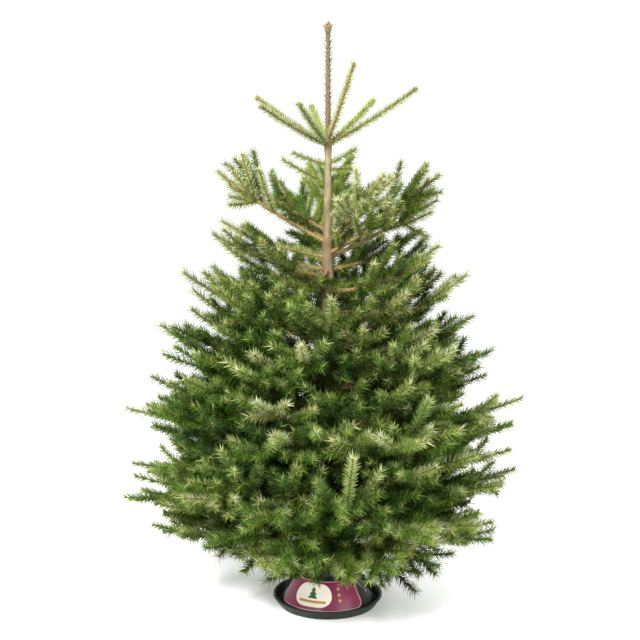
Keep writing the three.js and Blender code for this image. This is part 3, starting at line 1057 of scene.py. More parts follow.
# Boughs: brown and dull low down, tan and brighter near the top, with spots a few millimetres wide.
BOUGH_STOPS = [(0.2, "#4d3923"), (0.9, "#5d4830"), (1.25, "#7d6740")]
bough_bark = bark_material("young_fir_bark", BOUGH_STOPS, 8 * MM, 0.5 * MM)
print("barks:", twig_bark.name, bough_bark.name)

# %% The twig group


def sweep_group():
    """Sweeps chains into round twigs or boughs, with a little relief."""
    tree = new_group(
        "wood_on_chains",
        {
            "Sides": ("NodeSocketInt", 3),
            "Relief": ("NodeSocketFloat", 0.0),
            "Relief Scale": ("NodeSocketFloat", 90.0),
            "Material": ("NodeSocketMaterial", None),
        },
    )
    given = node(tree, "NodeGroupInput").outputs
    curve = node(tree, "GeometryNodeMeshToCurve", {"Mesh": given["Geometry"]})
    thick = node(tree, "GeometryNodeInputNamedAttribute", {"Name": "thick"}, data_type="FLOAT")
    section = node(tree, "GeometryNodeCurvePrimitiveCircle", {"Resolution": given["Sides"], "Radius": 1.0})
    swept = {"Curve": curve, "Profile Curve": section, "Fill Caps": True, "Scale": thick}
    sweep = node(tree, "GeometryNodeCurveToMesh", swept)
    bumps = node(tree, "ShaderNodeTexNoise", {"Scale": given["Relief Scale"], "Detail": 2.0})
    centred = node(tree, "ShaderNodeMath", {0: bumps, 1: 0.5}, operation="SUBTRACT")
    height = node(tree, "ShaderNodeMath", {0: centred, 1: given["Relief"]}, operation="MULTIPLY")
    normal = node(tree, "GeometryNodeInputNormal")
    offset = node(tree, "ShaderNodeVectorMath", {0: normal, "Scale": height}, operation="SCALE")
    result = node(tree, "GeometryNodeSetPosition", {"Geometry": sweep, "Offset": offset})
    result = node(tree, "GeometryNodeRealizeInstances", {"Geometry": result})
    result = node(tree, "GeometryNodeSetMaterial", {"Geometry": result, "Material": given["Material"]})
    node(tree, "NodeGroupOutput", {"Geometry": result})
    return tree


wood_on_chains = sweep_group()
print(wood_on_chains.name, "has", len(wood_on_chains.nodes), "nodes")

# %% Every twig and bough
bough_names = sorted(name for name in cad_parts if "_bough_" in name)
all_shoots = [shoot for wood in woods.values() for shoot in wood.shoots]
side_shoots = [shoot for shoot in all_shoots if shoot["depth"] > 0]
twigs = chain_mesh("twigs", side_shoots)
made_plain(twigs, wood_on_chains, {"Material": twig_bark})
ship(twigs, "young_bark")

BOUGH_STEP = 12 * MM
bough_chains = []
for wood in woods.values():
    for line, thickness in wood.boughs:
        lengths = np.concatenate([[0], np.cumsum(np.linalg.norm(np.diff(line, axis=0), axis=1))])
        stations = np.linspace(0, lengths[-1], max(3, int(lengths[-1] / BOUGH_STEP)))
        points = np.column_stack([np.interp(stations, lengths, line[:, i]) for i in range(3)])
        radii = np.interp(stations, lengths, thickness)
        bare = {"dorsal": UP, "tint": 0, "needles": 0, "brush": 0, "size": 1}
        bough_chains.append({"points": points, "radii": radii, **bare})
boughs = chain_mesh("boughs", bough_chains)
made_plain(boughs, wood_on_chains, {"Sides": 8, "Relief": 2.0 * MM, "Material": bough_bark})
ship(boughs, "young_bark", *bough_names)
print("twig faces:", len(twigs.data.polygons), "from", len(side_shoots), "shoots")
print("bough faces:", len(boughs.data.polygons), "from", len(bough_chains), "boughs")

# %% [markdown]
# ## Buds
# Every shoot of this year ends in buds, fat, blunt and orange-brown, and coated with a little resin. Strong
# shoots carry three together, the newest whorl's carry five, and the leader ends in a wide splayed cluster.
# Each bud is a spindle of eight faces, set on a point by Geometry Nodes.

# %% One bud, and the group that sets it
BUD_LENGTH = 9 * MM
BUD_WIDTH = 6 * MM
BUD_WIDEST = 0.45  # along its length
CLUSTER_SPLAY = math.radians(52)
LEADER_SPLAY = math.radians(66)

bud_mesh = bpy.data.meshes.new("bud")
bud_belt = [(0.5, 0, BUD_WIDEST), (0, 0.5, BUD_WIDEST), (-0.5, 0, BUD_WIDEST), (0, -0.5, BUD_WIDEST)]
bud_upper = [(2 + i, 2 + (i + 1) % 4, 1) for i in range(4)]
bud_lower = [(2 + (i + 1) % 4, 2 + i, 0) for i in range(4)]
bud_mesh.from_pydata([(0, 0, -0.15), (0, 0, 1), *bud_belt], [], bud_upper + bud_lower)
bud_mesh.transform(Matrix.Diagonal((BUD_WIDTH, BUD_WIDTH, BUD_LENGTH, 1)))
bud_mesh.polygons.foreach_set("use_smooth", [True] * 8)
bud = bpy.data.objects.new("bud", bud_mesh)

# Bud scales under resin: warm brown, a little glossy, lighter and darker from bud to bud. On the newest
# shoots at the top they are still olive.
bud_scales = new_material("resinous_bud_scales", "#9a6430", 0.4, Specular_IOR_Level=0.5)
bud_tree = bud_scales.node_tree
bud_place = node(bud_tree, "ShaderNodeTexCoord").outputs["Object"]
bud_noise = node(bud_tree, "ShaderNodeTexNoise", {"Vector": bud_place, "Scale": 60.0, "Detail": 2.0})
browns = {"Factor": bud_noise, "A": linear("#5f3d1c"), "B": linear("#976737")}
bud_brown = node(bud_tree, "ShaderNodeMix", browns, data_type="RGBA")
bud_height = node(bud_tree, "ShaderNodeSeparateXYZ", {0: bud_place}).outputs["Z"]
freshness = {"Value": bud_height, "From Min": 1.2, "From Max": 1.7, "To Max": 0.7}
bud_fresh = node(bud_tree, "ShaderNodeMapRange", freshness)
olive = {"Factor": bud_fresh, "A": bud_brown, "B": linear("#6f6430")}
surface(bud_scales, Base_Color=node(bud_tree, "ShaderNodeMix", olive, data_type="RGBA"))


def bud_group():
    """Sets one bud on each point, along the point's axis and at its size."""
    tree = new_group("buds_on_tips", {"Bud": ("NodeSocketObject", None), "Seed": ("NodeSocketInt", 3)})
    given = node(tree, "NodeGroupInput").outputs
    points = node(tree, "GeometryNodeMeshToPoints", {"Mesh": given["Geometry"]})
    axis = node(tree, "GeometryNodeInputNamedAttribute", {"Name": "axis"}, data_type="FLOAT_VECTOR")
    size = node(tree, "GeometryNodeInputNamedAttribute", {"Name": "size"}, data_type="FLOAT")
    rotation = node(tree, "FunctionNodeAlignRotationToVector", {"Vector": axis}, axis="Z")
    limits = {"Seed": given["Seed"], 2: 0.85, 3: 1.15}
    chance = node(tree, "FunctionNodeRandomValue", limits, data_type="FLOAT")
    scale = node(tree, "ShaderNodeMath", {0: size, 1: chance}, operation="MULTIPLY")
    result = realized_copies(tree, given["Bud"], {"Points": points, "Rotation": rotation, "Scale": scale})
    result = node(tree, "GeometryNodeSetMaterial", {"Geometry": result, "Material": bud_scales})
    node(tree, "NodeGroupOutput", {"Geometry": result})
    return tree


# %% Buds at the tips
CLUSTERS_ABOVE = 1.1  # the height from which strong shoots end in three buds
SHARE_WITH_BUDS = 0.65  # the share of lower shoots whose bud is fat enough to show
LEADER_BUD = 2.5  # the size of the leader's buds beside the others
WHORL_BUD = 1.75  # and of the buds that end the newest whorl
WHORL_BUDS_ABOVE = 1.65
ROUND_ONE = 0.85  # the size of a cluster's side buds beside its middle one
NEEDLES_FOR_BUD = 40  # a shoot with fewer needles is too weak to end in a fat bud


def bud_points(name, buds):
    """A mesh of points, one for each bud: its place, its axis and its size."""
    mesh = bpy.data.meshes.new(name)
    mesh.from_pydata([tuple(place) for place, axis, size in buds], [], [])
    axes = mesh.attributes.new("axis", "FLOAT_VECTOR", "POINT")
    axes.data.foreach_set("vector", np.array([axis for place, axis, size in buds], dtype=np.float32).ravel())
    sizes = mesh.attributes.new("size", "FLOAT", "POINT")
    sizes.data.foreach_set("value", [size for place, axis, size in buds])
    return add_object(name, mesh)


def cluster(tip, along, size, count, splay=CLUSTER_SPLAY):
    """A bud at a tip, with others splayed round it."""
    aside = unit(np.cross(along, UP + 0.1))
    made = [(tip - along * 2 * MM, along, size)]
    for number in range(count):
        heading = turned_about(aside, along, math.tau * number / count + 0.4)
        axis = along * math.cos(splay) + heading * math.sin(splay)
        made.append((tip - along * 3 * MM, axis, size * ROUND_ONE))
    return made


buds = []
for shoot in all_shoots:
    tip = shoot["points"][-1]
    strong = tip[2] > CLUSTERS_ABOVE
    if shoot["age"] > 0 or shoot["needles"] <= NEEDLES_FOR_BUD:
        continue
    if strong or rng.random() < SHARE_WITH_BUDS:
        along = unit(tip - shoot["points"][-2])
        if tip[2] > WHORL_BUDS_ABOVE:
            buds.extend(cluster(tip, along, WHORL_BUD, 4))
        else:
            buds.extend(cluster(tip, along, shoot["size"] * (1.05 if strong else 1.0), 2 if strong else 0))
leader_top = trunk_centre(LEADER["top"])
buds.extend(cluster(leader_top, UP, LEADER_BUD, 6, LEADER_SPLAY))
bud_piece = bud_points("buds", buds)
made_plain(bud_piece, bud_group(), {"Bud": bud})
ship(bud_piece, "young_bark")
print("buds:", len(buds), "faces:", len(bud_piece.data.polygons))

# %% [markdown]
# ## The trunk
# A young fir's bark is thin and smooth, grey with a warm cast. Low blisters full of resin lie across it, each
# a few millimetres long. The stem is tan at the top whorls, and each bough leaves it from a low tan collar.
# The relief is made in the mesh itself: rings 3 mm apart, whose radius follows the blisters, the collars and
# a slow unevenness. The foot is the flat cut that the saw left, pale and ringed.

# %% The trunk's relief
TRUNK_SIDES = 40
RING_STEP = 3 * MM
COLLAR = {"height": 3 * MM, "bough": 10 * MM, "up": 2.2, "round": 1.6, "tan": 0.8, "within": 0.06}
BLISTERS = 1100
BLISTER_ROWS = 3  # how many rings a blister reaches up and down
UNEVEN = 1.2 * MM
TRUNK_END = LEADER["top"] + 2 * MM
LEADING_WHORL = 1.586  # the height where the newest whorl stands

heights = np.arange(ring_heights[0], TRUNK_END, RING_STEP)
turns = np.arange(TRUNK_SIDES) / TRUNK_SIDES * math.tau
base = np.interp(heights, ring_heights, ring_radii)
relief = np.zeros((len(heights), TRUNK_SIDES))
tan = np.zeros_like(relief)
for line, thickness in [bough for wood in woods.values() for bough in wood.boughs]:
    heading, height = math.atan2(line[1][1], line[1][0]), line[0][2]
    away = half_turn(turns - heading)
    rows = np.abs(heights - height) < COLLAR["within"]
    spread = np.exp(-(((heights[rows, None] - height) / (COLLAR["up"] * thickness[0])) ** 2))
    round_it = np.exp(-((away[None] * base[rows, None] / (COLLAR["round"] * thickness[0])) ** 2))
    proud = COLLAR["height"] * thickness[0] / COLLAR["bough"]
    relief[rows] = np.maximum(relief[rows], proud * spread * round_it)
    tan[rows] = np.maximum(tan[rows], COLLAR["tan"] * spread * round_it)
print("collars stand up to", round(relief.max() / MM, 1), "mm proud")

# %% Blisters, and a slow unevenness
for _ in range(BLISTERS):
    row, turn = rng.integers(BLISTER_ROWS, len(heights) - BLISTER_ROWS), rng.uniform(0, math.tau)
    wide, tall, proud = rng.uniform(3, 9) * MM, rng.uniform(2, 3.5) * MM, rng.uniform(0.3, 0.9) * MM
    rows = slice(max(row - BLISTER_ROWS, 0), row + BLISTER_ROWS + 1)
    away = half_turn(turns - turn)
    rise = heights[rows, None] - heights[row]
    bump = np.exp(-((away[None] * base[rows, None] / wide) ** 2 + (rise / tall) ** 2))
    relief[rows] += proud * bump * min(1.0, base[row] / 0.02)
slow_turns = rng.uniform(0, math.tau, 12)
for number, phase in enumerate(slow_turns):
    wave = np.sin(heights[:, None] * (18 + 9 * number) + phase + (number % 4) * turns[None])
    relief += UNEVEN / 6 * wave * np.clip(base[:, None] / 0.03, 0, 1)
for height in (tiers["second"][0]["root"], LEADING_WHORL):
    tan = np.maximum(tan, 0.75 * np.exp(-(((heights[:, None] - height) / 0.016) ** 2)))
tan = np.maximum(tan, np.interp(heights, [1.56, 1.6], [0.0, 0.85])[:, None])
print("relief up to", round(relief.max() / MM, 1), "mm, over", len(heights), "rings")

# %% The trunk's mesh
closing = np.clip((TRUNK_END - heights) / (6 * MM), 0.05, 1.0) ** 0.5
radii = base[:, None] * closing[:, None] + relief * closing[:, None]
centres = np.array([trunk_centre(height) for height in heights])
trunk_points = np.stack(
    [
        centres[:, 0, None] + radii * np.cos(turns),
        centres[:, 1, None] + radii * np.sin(turns),
        np.repeat(heights[:, None], TRUNK_SIDES, axis=1),
    ],
    axis=-1,
).reshape(-1, 3)
row_count = len(heights)
trunk_faces = [
    (row * TRUNK_SIDES + i, row * TRUNK_SIDES + (i + 1) % TRUNK_SIDES)
    + ((row + 1) * TRUNK_SIDES + (i + 1) % TRUNK_SIDES, (row + 1) * TRUNK_SIDES + i)
    for row in range(row_count - 1)
    for i in range(TRUNK_SIDES)
]
foot, crest = len(trunk_points), len(trunk_points) + 1
last = (row_count - 1) * TRUNK_SIDES
foot_faces = [((i + 1) % TRUNK_SIDES, i, foot) for i in range(TRUNK_SIDES)]
crest_faces = [(last + i, last + (i + 1) % TRUNK_SIDES, crest) for i in range(TRUNK_SIDES)]
trunk_mesh = bpy.data.meshes.new("trunk_bark")
trunk_mesh.from_pydata(
    [tuple(point) for point in trunk_points] + [tuple(centres[0]), tuple(centres[-1] + [0, 0, MM])],
    [],
    trunk_faces + foot_faces + crest_faces,
)
sawn = [False] * len(trunk_faces) + [True] * len(foot_faces) + [False] * len(crest_faces)
trunk_mesh.polygons.foreach_set("use_smooth", [not face for face in sawn])
tan_field = trunk_mesh.attributes.new("tan", "FLOAT", "POINT")
tan_field.data.foreach_set("value", np.concatenate([tan.ravel(), [0.0, 0.85]]).astype(np.float32))

# %% The trunk's bark and its cut
# Trunk bark: matt grey-beige, mottled in patches a centimetre wide, warmer and browner to the foot.
TRUNK_STOPS = [(0.1, "#5a3f2d"), (0.5, "#62563f"), (1.1, "#786b4e"), (1.55, "#7d7153")]
trunk_bark = bark_material("smooth_fir_trunk_bark", TRUNK_STOPS, 9 * MM, 0.6 * MM, across=0.4)
# The saw's cut: pale new wood in fine rings.
cut_wood = new_material("sawn_fir_end_grain", "#c9a878", 0.8)
cut_tree = cut_wood.node_tree
cut_place = node(cut_tree, "ShaderNodeTexCoord").outputs["Object"]
cut_centred = node(cut_tree, "ShaderNodeMapping", {"Vector": cut_place, "Location": (-centres[0][0], 0, 0)})
waves = {"Vector": cut_centred, "Scale": 90.0, "Distortion": 1.5, "Detail": 2.0}
cut_rings = node(cut_tree, "ShaderNodeTexWave", waves, wave_type="RINGS", rings_direction="Z").outputs["Fac"]
ringed = {"Factor": cut_rings, "A": linear("#d6b98c"), "B": linear("#a67c4a")}
surface(cut_wood, Base_Color=node(cut_tree, "ShaderNodeMix", ringed, data_type="RGBA"))
trunk_mesh.materials.append(trunk_bark)
trunk_mesh.materials.append(cut_wood)
trunk_mesh.polygons.foreach_set("material_index", [int(face) for face in sawn])
ship(add_object("trunk_bark", trunk_mesh), "bark", "trunk")
print("trunk faces:", len(trunk_mesh.polygons))

# %% [markdown]
# ## The stand
# The stand is two mouldings of dark green polypropylene. A shallow round pan with a rolled rim stands on the
# floor, and a hollow cone inside it carries the well that holds the trunk and its water. Such parts have even
# walls, rounded edges and stepped buttresses on the cone to stiffen it. Both are turned from a profile. A
# profile is a few corners in radius and height, and each corner is rounded before it goes round.

# %% Turning a rounded profile
STAND_SIDES = 96
ON_AXIS = 1e-6  # a profile's point with a smaller radius lies on the axis
PAN = {"foot": 0.172, "rim": 0.192, "height": 0.033, "floor": 0.005, "wall": 0.004}
CONE = {
    # radii of the skirt's edge, the shoulder and the well, and heights of the seat, the shoulder and the top
    "skirt": 0.168,
    "shoulder": 0.098,
    "well": 0.090,
    "seat": 0.0053,
    "shoulder_height": 0.124,
    "top": 0.152,
}


def rounded(corners, radius):
    """A closed profile with each corner cut back by a radius and rounded in five points."""
    corners = [np.array(corner, dtype=float) for corner in corners]
    points = []
    for i, corner in enumerate(corners):
        before, after = corners[i - 1], corners[(i + 1) % len(corners)]
        back = min(radius, np.linalg.norm(before - corner) * 0.45)
        ahead = min(radius, np.linalg.norm(after - corner) * 0.45)
        start = corner + unit(before - corner) * back
        end = corner + unit(after - corner) * ahead
        if corner[0] < ON_AXIS:
            points.append(corner)
            continue
        for share in (0.0, 0.25, 0.5, 0.75, 1.0):
            points.append((1 - share) ** 2 * start + 2 * share * (1 - share) * corner + share**2 * end)
    return points


def turned(name, profile, material):
    """Turns a closed profile of (radius, height) round the stand's axis. Points on the axis are poles."""
    shell = bmesh.new()
    angles = [math.tau * i / STAND_SIDES for i in range(STAND_SIDES)]
    rings = []
    for radius, height in profile:
        if radius < ON_AXIS:
            rings.append([shell.verts.new((0, 0, height))])
            continue
        rings.append([shell.verts.new((radius * math.cos(a), radius * math.sin(a), height)) for a in angles])
    for here, there in zip(rings, rings[1:] + rings[:1], strict=True):
        if len(here) == len(there) == 1:
            continue
        for i in range(STAND_SIDES):
            corners = [here[i % len(here)], here[(i + 1) % len(here)]]
            corners += [there[(i + 1) % len(there)], there[i % len(there)]]
            shell.faces.new(dict.fromkeys(corners))
    bmesh.ops.recalc_face_normals(shell, faces=shell.faces)
    for face in shell.faces:
        face.smooth = True
    return finished(name, shell, material)


def finished(name, shell, material):
    """A finished piece from a bmesh."""
    mesh = bpy.data.meshes.new(name)
    shell.to_mesh(mesh)
    shell.free()
    mesh.materials.append(material)
    return add_object(name, mesh)


# %% Moulded plastic
# Injection-moulded polypropylene: dark, slightly waxy, with a fine spark-eroded grain that breaks up the
# gloss, and a faint unevenness of colour. Water and handling leave it a little duller in patches.
SLIGHTLY_WAXY = {"IOR": 1.49, "Specular_IOR_Level": 0.2}
moulded_plastic = new_material("injection_moulded_polypropylene", "#19231e", 0.42, **SLIGHTLY_WAXY)
plastic_tree = moulded_plastic.node_tree
plastic_place = node(plastic_tree, "ShaderNodeTexCoord").outputs["Object"]
GRAIN = 1.6 * MM  # real grain is about 0.2 mm, drawn coarser so that it shows
grain = node(plastic_tree, "ShaderNodeTexNoise", {"Vector": plastic_place, "Scale": 1 / GRAIN, "Detail": 1.0})
duller = node(plastic_tree, "ShaderNodeTexNoise", {"Vector": plastic_place, "Scale": 22.0, "Detail": 3.0})
greens = {"Factor": duller, "A": linear("#121a16"), "B": linear("#202b25")}
dullness = {"Value": duller, "From Min": 0.3, "From Max": 0.7, "To Min": 0.34, "To Max": 0.55}
grained = {"Height": grain, "Distance": 0.15 * MM, "Strength": 0.5}
surface(
    moulded_plastic,
    Base_Color=node(plastic_tree, "ShaderNodeMix", greens, data_type="RGBA"),
    Roughness=node(plastic_tree, "ShaderNodeMapRange", dullness),
    Normal=node(plastic_tree, "ShaderNodeBump", grained),
)
print(moulded_plastic.name, "has", len(plastic_tree.nodes), "nodes")

# %% The pan
rim, lip = PAN["rim"], 2.5 * MM
pan_profile = [
    (0, 0.0),
    (PAN["foot"], 0.0),
    (rim - lip - MM, PAN["height"] - 8 * MM),
    (rim - MM, PAN["height"] - 7 * MM),
    (rim, PAN["height"] - 3 * MM),
    (rim - MM, PAN["height"]),
    (rim - 2 * PAN["wall"], PAN["height"]),
    (rim - 2 * PAN["wall"] - MM, PAN["height"] - 5 * MM),
    (PAN["foot"] + MM, PAN["floor"]),
    (0, PAN["floor"]),
]
pan = turned("stand_pan_moulding", rounded(pan_profile, 1.6 * MM), moulded_plastic)
ship(pan, "green_plastic", "stand_pan")
print("pan faces:", len(pan.data.polygons))

# %% The cone, the collar and the well
cone_profile = [
    (CONE["skirt"], CONE["seat"]),
    (CONE["skirt"] - 3 * MM, CONE["seat"] + 10 * MM),
    (CONE["shoulder"] + 4 * MM, CONE["shoulder_height"] - 4 * MM),
    (CONE["shoulder"], CONE["shoulder_height"]),
    (CONE["shoulder"] - MM, CONE["top"] - 10 * MM),
    (CONE["shoulder"] + 1.5 * MM, CONE["top"] - 8 * MM),
    (CONE["shoulder"] + 1.5 * MM, CONE["top"]),
    (CONE["well"], CONE["top"]),
    (CONE["well"], CONE["seat"]),
    (CONE["well"] + 4 * MM, CONE["seat"]),
    (CONE["well"] + 4 * MM, CONE["shoulder_height"] - 8 * MM),
    (CONE["skirt"] - 12 * MM, CONE["seat"]),
]
cone = turned("stand_cone_moulding", rounded(cone_profile, 1.8 * MM), moulded_plastic)
print("cone faces:", len(cone.data.polygons))

# %% [markdown]
# ## Buttresses, rivets and screws
# Stepped buttresses stand round the cone, four rivets join it to the pan, and four screws with cross bars
# press on the trunk. Each is made once and set round the axis by one node group, which takes the piece to
# copy, the number of copies, the turn of the first one, and the step to the next. The buttresses leave the
# label's side of the cone smooth.

# %% The group that sets copies round the axis


def ring_group():
    """Sets copies of a piece round the stand's axis, by turning it."""
    tree = new_group(
        "copies_round_axis",
        {
            "Piece": ("NodeSocketObject", None),
            "Copies": ("NodeSocketInt", 4),
            "First Turn": ("NodeSocketFloat", 0.0),
            "Step": ("NodeSocketFloat", math.tau / 4),
            "Material": ("NodeSocketMaterial", None),
        },
    )
    given = node(tree, "NodeGroupInput").outputs
    points = node(tree, "GeometryNodePoints", {"Count": given["Copies"]})
    index = node(tree, "GeometryNodeInputIndex")
    sums = {0: index, 1: given["Step"], 2: given["First Turn"]}
    turn = node(tree, "ShaderNodeMath", sums, operation="MULTIPLY_ADD")
    rotation = node(tree, "ShaderNodeCombineXYZ", {"Z": turn})
    result = realized_copies(tree, given["Piece"], {"Points": points, "Rotation": rotation})
    result = node(tree, "GeometryNodeSetMaterial", {"Geometry": result, "Material": given["Material"]})
    node(tree, "NodeGroupOutput", {"Geometry": result})
    return tree


copies_round_axis = ring_group()
print(copies_round_axis.name, "has", len(copies_round_axis.nodes), "nodes")


def copies(name, prototype, count, first, step, material):
    """A piece of several copies round the axis. The first heading and the step are in degrees."""
    piece = add_object(name, bpy.data.meshes.new(name))
    settings = {"Piece": prototype, "Copies": count, "Material": material}
    turns = {"First Turn": math.radians(first), "Step": math.radians(step)}
    return made_plain(piece, copies_round_axis, {**settings, **turns})


# %% Buttresses and the whole cone
BUTTRESSES = 7
BUTTRESS_THICK = 4 * MM
buttress_outline = [
    # radius and height, from the collar down the stepped edge and back inside the cone's wall
    (0.097, 0.140),
    (0.104, 0.138),
    (0.108, 0.124),
    (0.119, 0.119),
    (0.121, 0.101),
    (0.133, 0.096),
    (0.135, 0.076),
    (0.147, 0.070),
    (0.157, 0.030),
    (0.151, 0.028),
    (0.096, 0.120),
]


def plate(outline, thick, bevel):
    """A flat plate in the plane of radius and height, with bevelled edges."""
    shell = bmesh.new()
    near = [shell.verts.new((radius, -thick / 2, height)) for radius, height in outline]
    shell.faces.new(near)
    grown = bmesh.ops.extrude_face_region(shell, geom=shell.faces[:])
    far = [element for element in grown["geom"] if isinstance(element, bmesh.types.BMVert)]
    bmesh.ops.translate(shell, verts=far, vec=(0, thick, 0))
    bmesh.ops.recalc_face_normals(shell, faces=shell.faces)
    bmesh.ops.bevel(shell, geom=shell.edges[:], offset=bevel, segments=2, affect="EDGES", profile=0.5)
    for face in shell.faces:
        face.smooth = True
    return shell


buttress = finished("buttress", plate(buttress_outline, BUTTRESS_THICK, 0.7 * MM), moulded_plastic)
scene.collection.objects.unlink(buttress)
buttresses = copies("buttresses", buttress, BUTTRESSES, -2, 30, moulded_plastic)
whole = bmesh.new()
whole.from_mesh(cone.data)
whole.from_mesh(buttresses.data)
whole.to_mesh(cone.data)
whole.free()
bpy.data.objects.remove(buttresses)
ship(cone, "green_plastic", "stand_cone")
print("cone with buttresses:", len(cone.data.polygons), "faces")

# %% Rivets and screws in plated steel
# Zinc-plated steel: pale, slightly blue-grey, half gloss, with a spangle of faint patches.
plated_steel = new_material("zinc_plated_steel", "#b3b5b2", 0.34, Metallic=1.0)
steel_tree = plated_steel.node_tree
steel_place = node(steel_tree, "ShaderNodeTexCoord").outputs["Object"]
spangle = node(steel_tree, "ShaderNodeTexVoronoi", {"Vector": steel_place, "Scale": 220.0}, feature="F1")
greys = {"Factor": spangle, "A": linear("#bfc1be"), "B": linear("#9da19f")}
surface(
    plated_steel,
    Base_Color=node(steel_tree, "ShaderNodeMix", greys, data_type="RGBA"),
    Roughness=node(steel_tree, "ShaderNodeMapRange", {"Value": spangle, "To Min": 0.26, "To Max": 0.46}),
)

RIVET_HEIGHT = 0.055
RIVET_RADIUS = 4.5 * MM
SCREW_HEIGHT = 0.138
THREAD_END = 0.118
SCREW = {"radius": 4 * MM, "pitch": 2.5 * MM, "tip": 0.042, "end": 0.134}
BAR = {"length": 0.046, "radius": 4.5 * MM, "end": 0.7}


def round_bar(shell, stations, sides, place):
    """Adds a closed round bar to a bmesh: stations of (distance, radius) along x, then placed by a matrix."""
    angles = [math.tau * i / sides for i in range(sides)]
    rings = []
    for distance, radius in stations:
        corners = [Vector((distance, radius * math.cos(a), radius * math.sin(a))) for a in angles]
        rings.append([shell.verts.new(place @ corner) for corner in corners])
    for here, there in zip(rings, rings[1:], strict=False):
        for i in range(sides):
            shell.faces.new((here[i], here[(i + 1) % sides], there[(i + 1) % sides], there[i]))
    shell.faces.new(rings[0])
    shell.faces.new(rings[-1])


rivet_shell = bmesh.new()
slope = math.atan2(CONE["shoulder_height"] - CONE["seat"], CONE["skirt"] - CONE["shoulder"])
cone_radius = CONE["skirt"] - (RIVET_HEIGHT - CONE["seat"]) / math.tan(slope)
rivet_turn = Matrix.Rotation(slope - math.pi / 2, 4, "Y")
rivet_place = Matrix.Translation((cone_radius, 0, RIVET_HEIGHT)) @ rivet_turn
dome = [(-1 * MM, 1.0), (0.6 * MM, 1.0), (1.8 * MM, 0.8), (2.4 * MM, 0.4)]
dome = [(distance, share * RIVET_RADIUS) for distance, share in dome]
round_bar(rivet_shell, dome, 16, rivet_place)
screw_shell = bmesh.new()
thread = [(SCREW["tip"], SCREW["radius"] * 0.6)]
reach = SCREW["tip"] + MM
while reach < THREAD_END:
    thread += [(reach, SCREW["radius"] * 0.86), (reach + SCREW["pitch"] / 2, SCREW["radius"])]
    reach += SCREW["pitch"]
thread += [(THREAD_END + 2 * MM, SCREW["radius"]), (SCREW["end"] - 3 * MM, SCREW["radius"])]
round_bar(screw_shell, thread, 12, Matrix.Translation((0, 0, SCREW_HEIGHT)))
half, bar_radius = BAR["length"] / 2, BAR["radius"]
bar_end = bar_radius * BAR["end"]
bar = [(-half, bar_end), (-half + 1.5 * MM, bar_radius), (half - 1.5 * MM, bar_radius), (half, bar_end)]
bar_place = Matrix.Translation((SCREW["end"], 0, SCREW_HEIGHT)) @ Matrix.Rotation(math.pi / 2, 4, "Z")
round_bar(screw_shell, bar, 14, bar_place)
for shell in (rivet_shell, screw_shell):
    bmesh.ops.recalc_face_normals(shell, faces=shell.faces)
rivet = finished("rivet", rivet_shell, plated_steel)
screw = finished("screw", screw_shell, plated_steel)
for prototype in (rivet, screw):
    scene.collection.objects.unlink(prototype)
rivets = copies("stand_rivets", rivet, 4, -20, 60, plated_steel)
screws = copies("stand_thumb_screws", screw, 4, 45, 90, plated_steel)
ship(rivets, "plated_steel")
ship(screws, "plated_steel", *sorted(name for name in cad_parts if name.startswith("stand_screw")))
print("rivets:", len(rivets.data.polygons), "screws:", len(screws.data.polygons), "faces")

# %% [markdown]
# ## The label
# A paper label, coated so that it shines a little, is glued round the front of the cone. It is a thin bent
# sheet with rounded ends, and its UV map holds millimetres: across along the cone, and up its slope. The
# print is drawn by the material's nodes as plain shapes in that map: a pale line inside the edge, a cream
# panel with a fir made of three tiers, a gold band, and three gold dots. There is no lettering.

# %% The label's sheet
LABEL_HEADINGS = (192, 320)
LABEL_SLOPE = (0.006, 0.112)  # along the cone's flank, from its lower edge
LABEL_CORNER = 0.026
LABEL_OFF = 0.5 * MM
LABEL_COLUMNS, LABEL_ROWS = 72, 24

flank_low = (CONE["skirt"] - 3 * MM, CONE["seat"] + 10 * MM)
flank_high = (CONE["shoulder"] + 4 * MM, CONE["shoulder_height"] - 4 * MM)
flank_slope = math.atan2(flank_high[1] - flank_low[1], flank_low[0] - flank_high[0])
middle = math.radians(sum(LABEL_HEADINGS) / 2)
mean_radius = flank_low[0] - math.cos(flank_slope) * sum(LABEL_SLOPE) / 2
half_width = math.radians(LABEL_HEADINGS[1] - LABEL_HEADINGS[0]) / 2 * mean_radius
half_height = (LABEL_SLOPE[1] - LABEL_SLOPE[0]) / 2
label_shell = bmesh.new()
uv_layer = label_shell.loops.layers.uv.new("label_millimetres")
grid, flat = [], {}
for row in range(LABEL_ROWS + 1):
    up = (row / LABEL_ROWS * 2 - 1) * half_height
    past = max(0.0, abs(up) - (half_height - LABEL_CORNER))
    width = half_width - LABEL_CORNER + math.sqrt(LABEL_CORNER**2 - past**2)
    climbed = LABEL_SLOPE[0] + half_height + up
    radius = flank_low[0] - climbed * math.cos(flank_slope) + LABEL_OFF * math.sin(flank_slope)
    height = flank_low[1] + climbed * math.sin(flank_slope) + LABEL_OFF * math.cos(flank_slope)
    grid.append([])
    for column in range(LABEL_COLUMNS + 1):
        across = (column / LABEL_COLUMNS * 2 - 1) * width
        turn = middle + across / mean_radius
        corner = label_shell.verts.new((radius * math.cos(turn), radius * math.sin(turn), height))
        flat[corner] = (across / MM, up / MM)
        grid[-1].append(corner)
for low, high in zip(grid, grid[1:], strict=False):
    for column in range(LABEL_COLUMNS):
        face = label_shell.faces.new((low[column], low[column + 1], high[column + 1], high[column]))
        face.smooth = True
        for loop in face.loops:
            loop[uv_layer].uv = flat[loop.vert]
print("label:", round(2 * half_width / MM), "x", round(2 * half_height / MM), "mm")

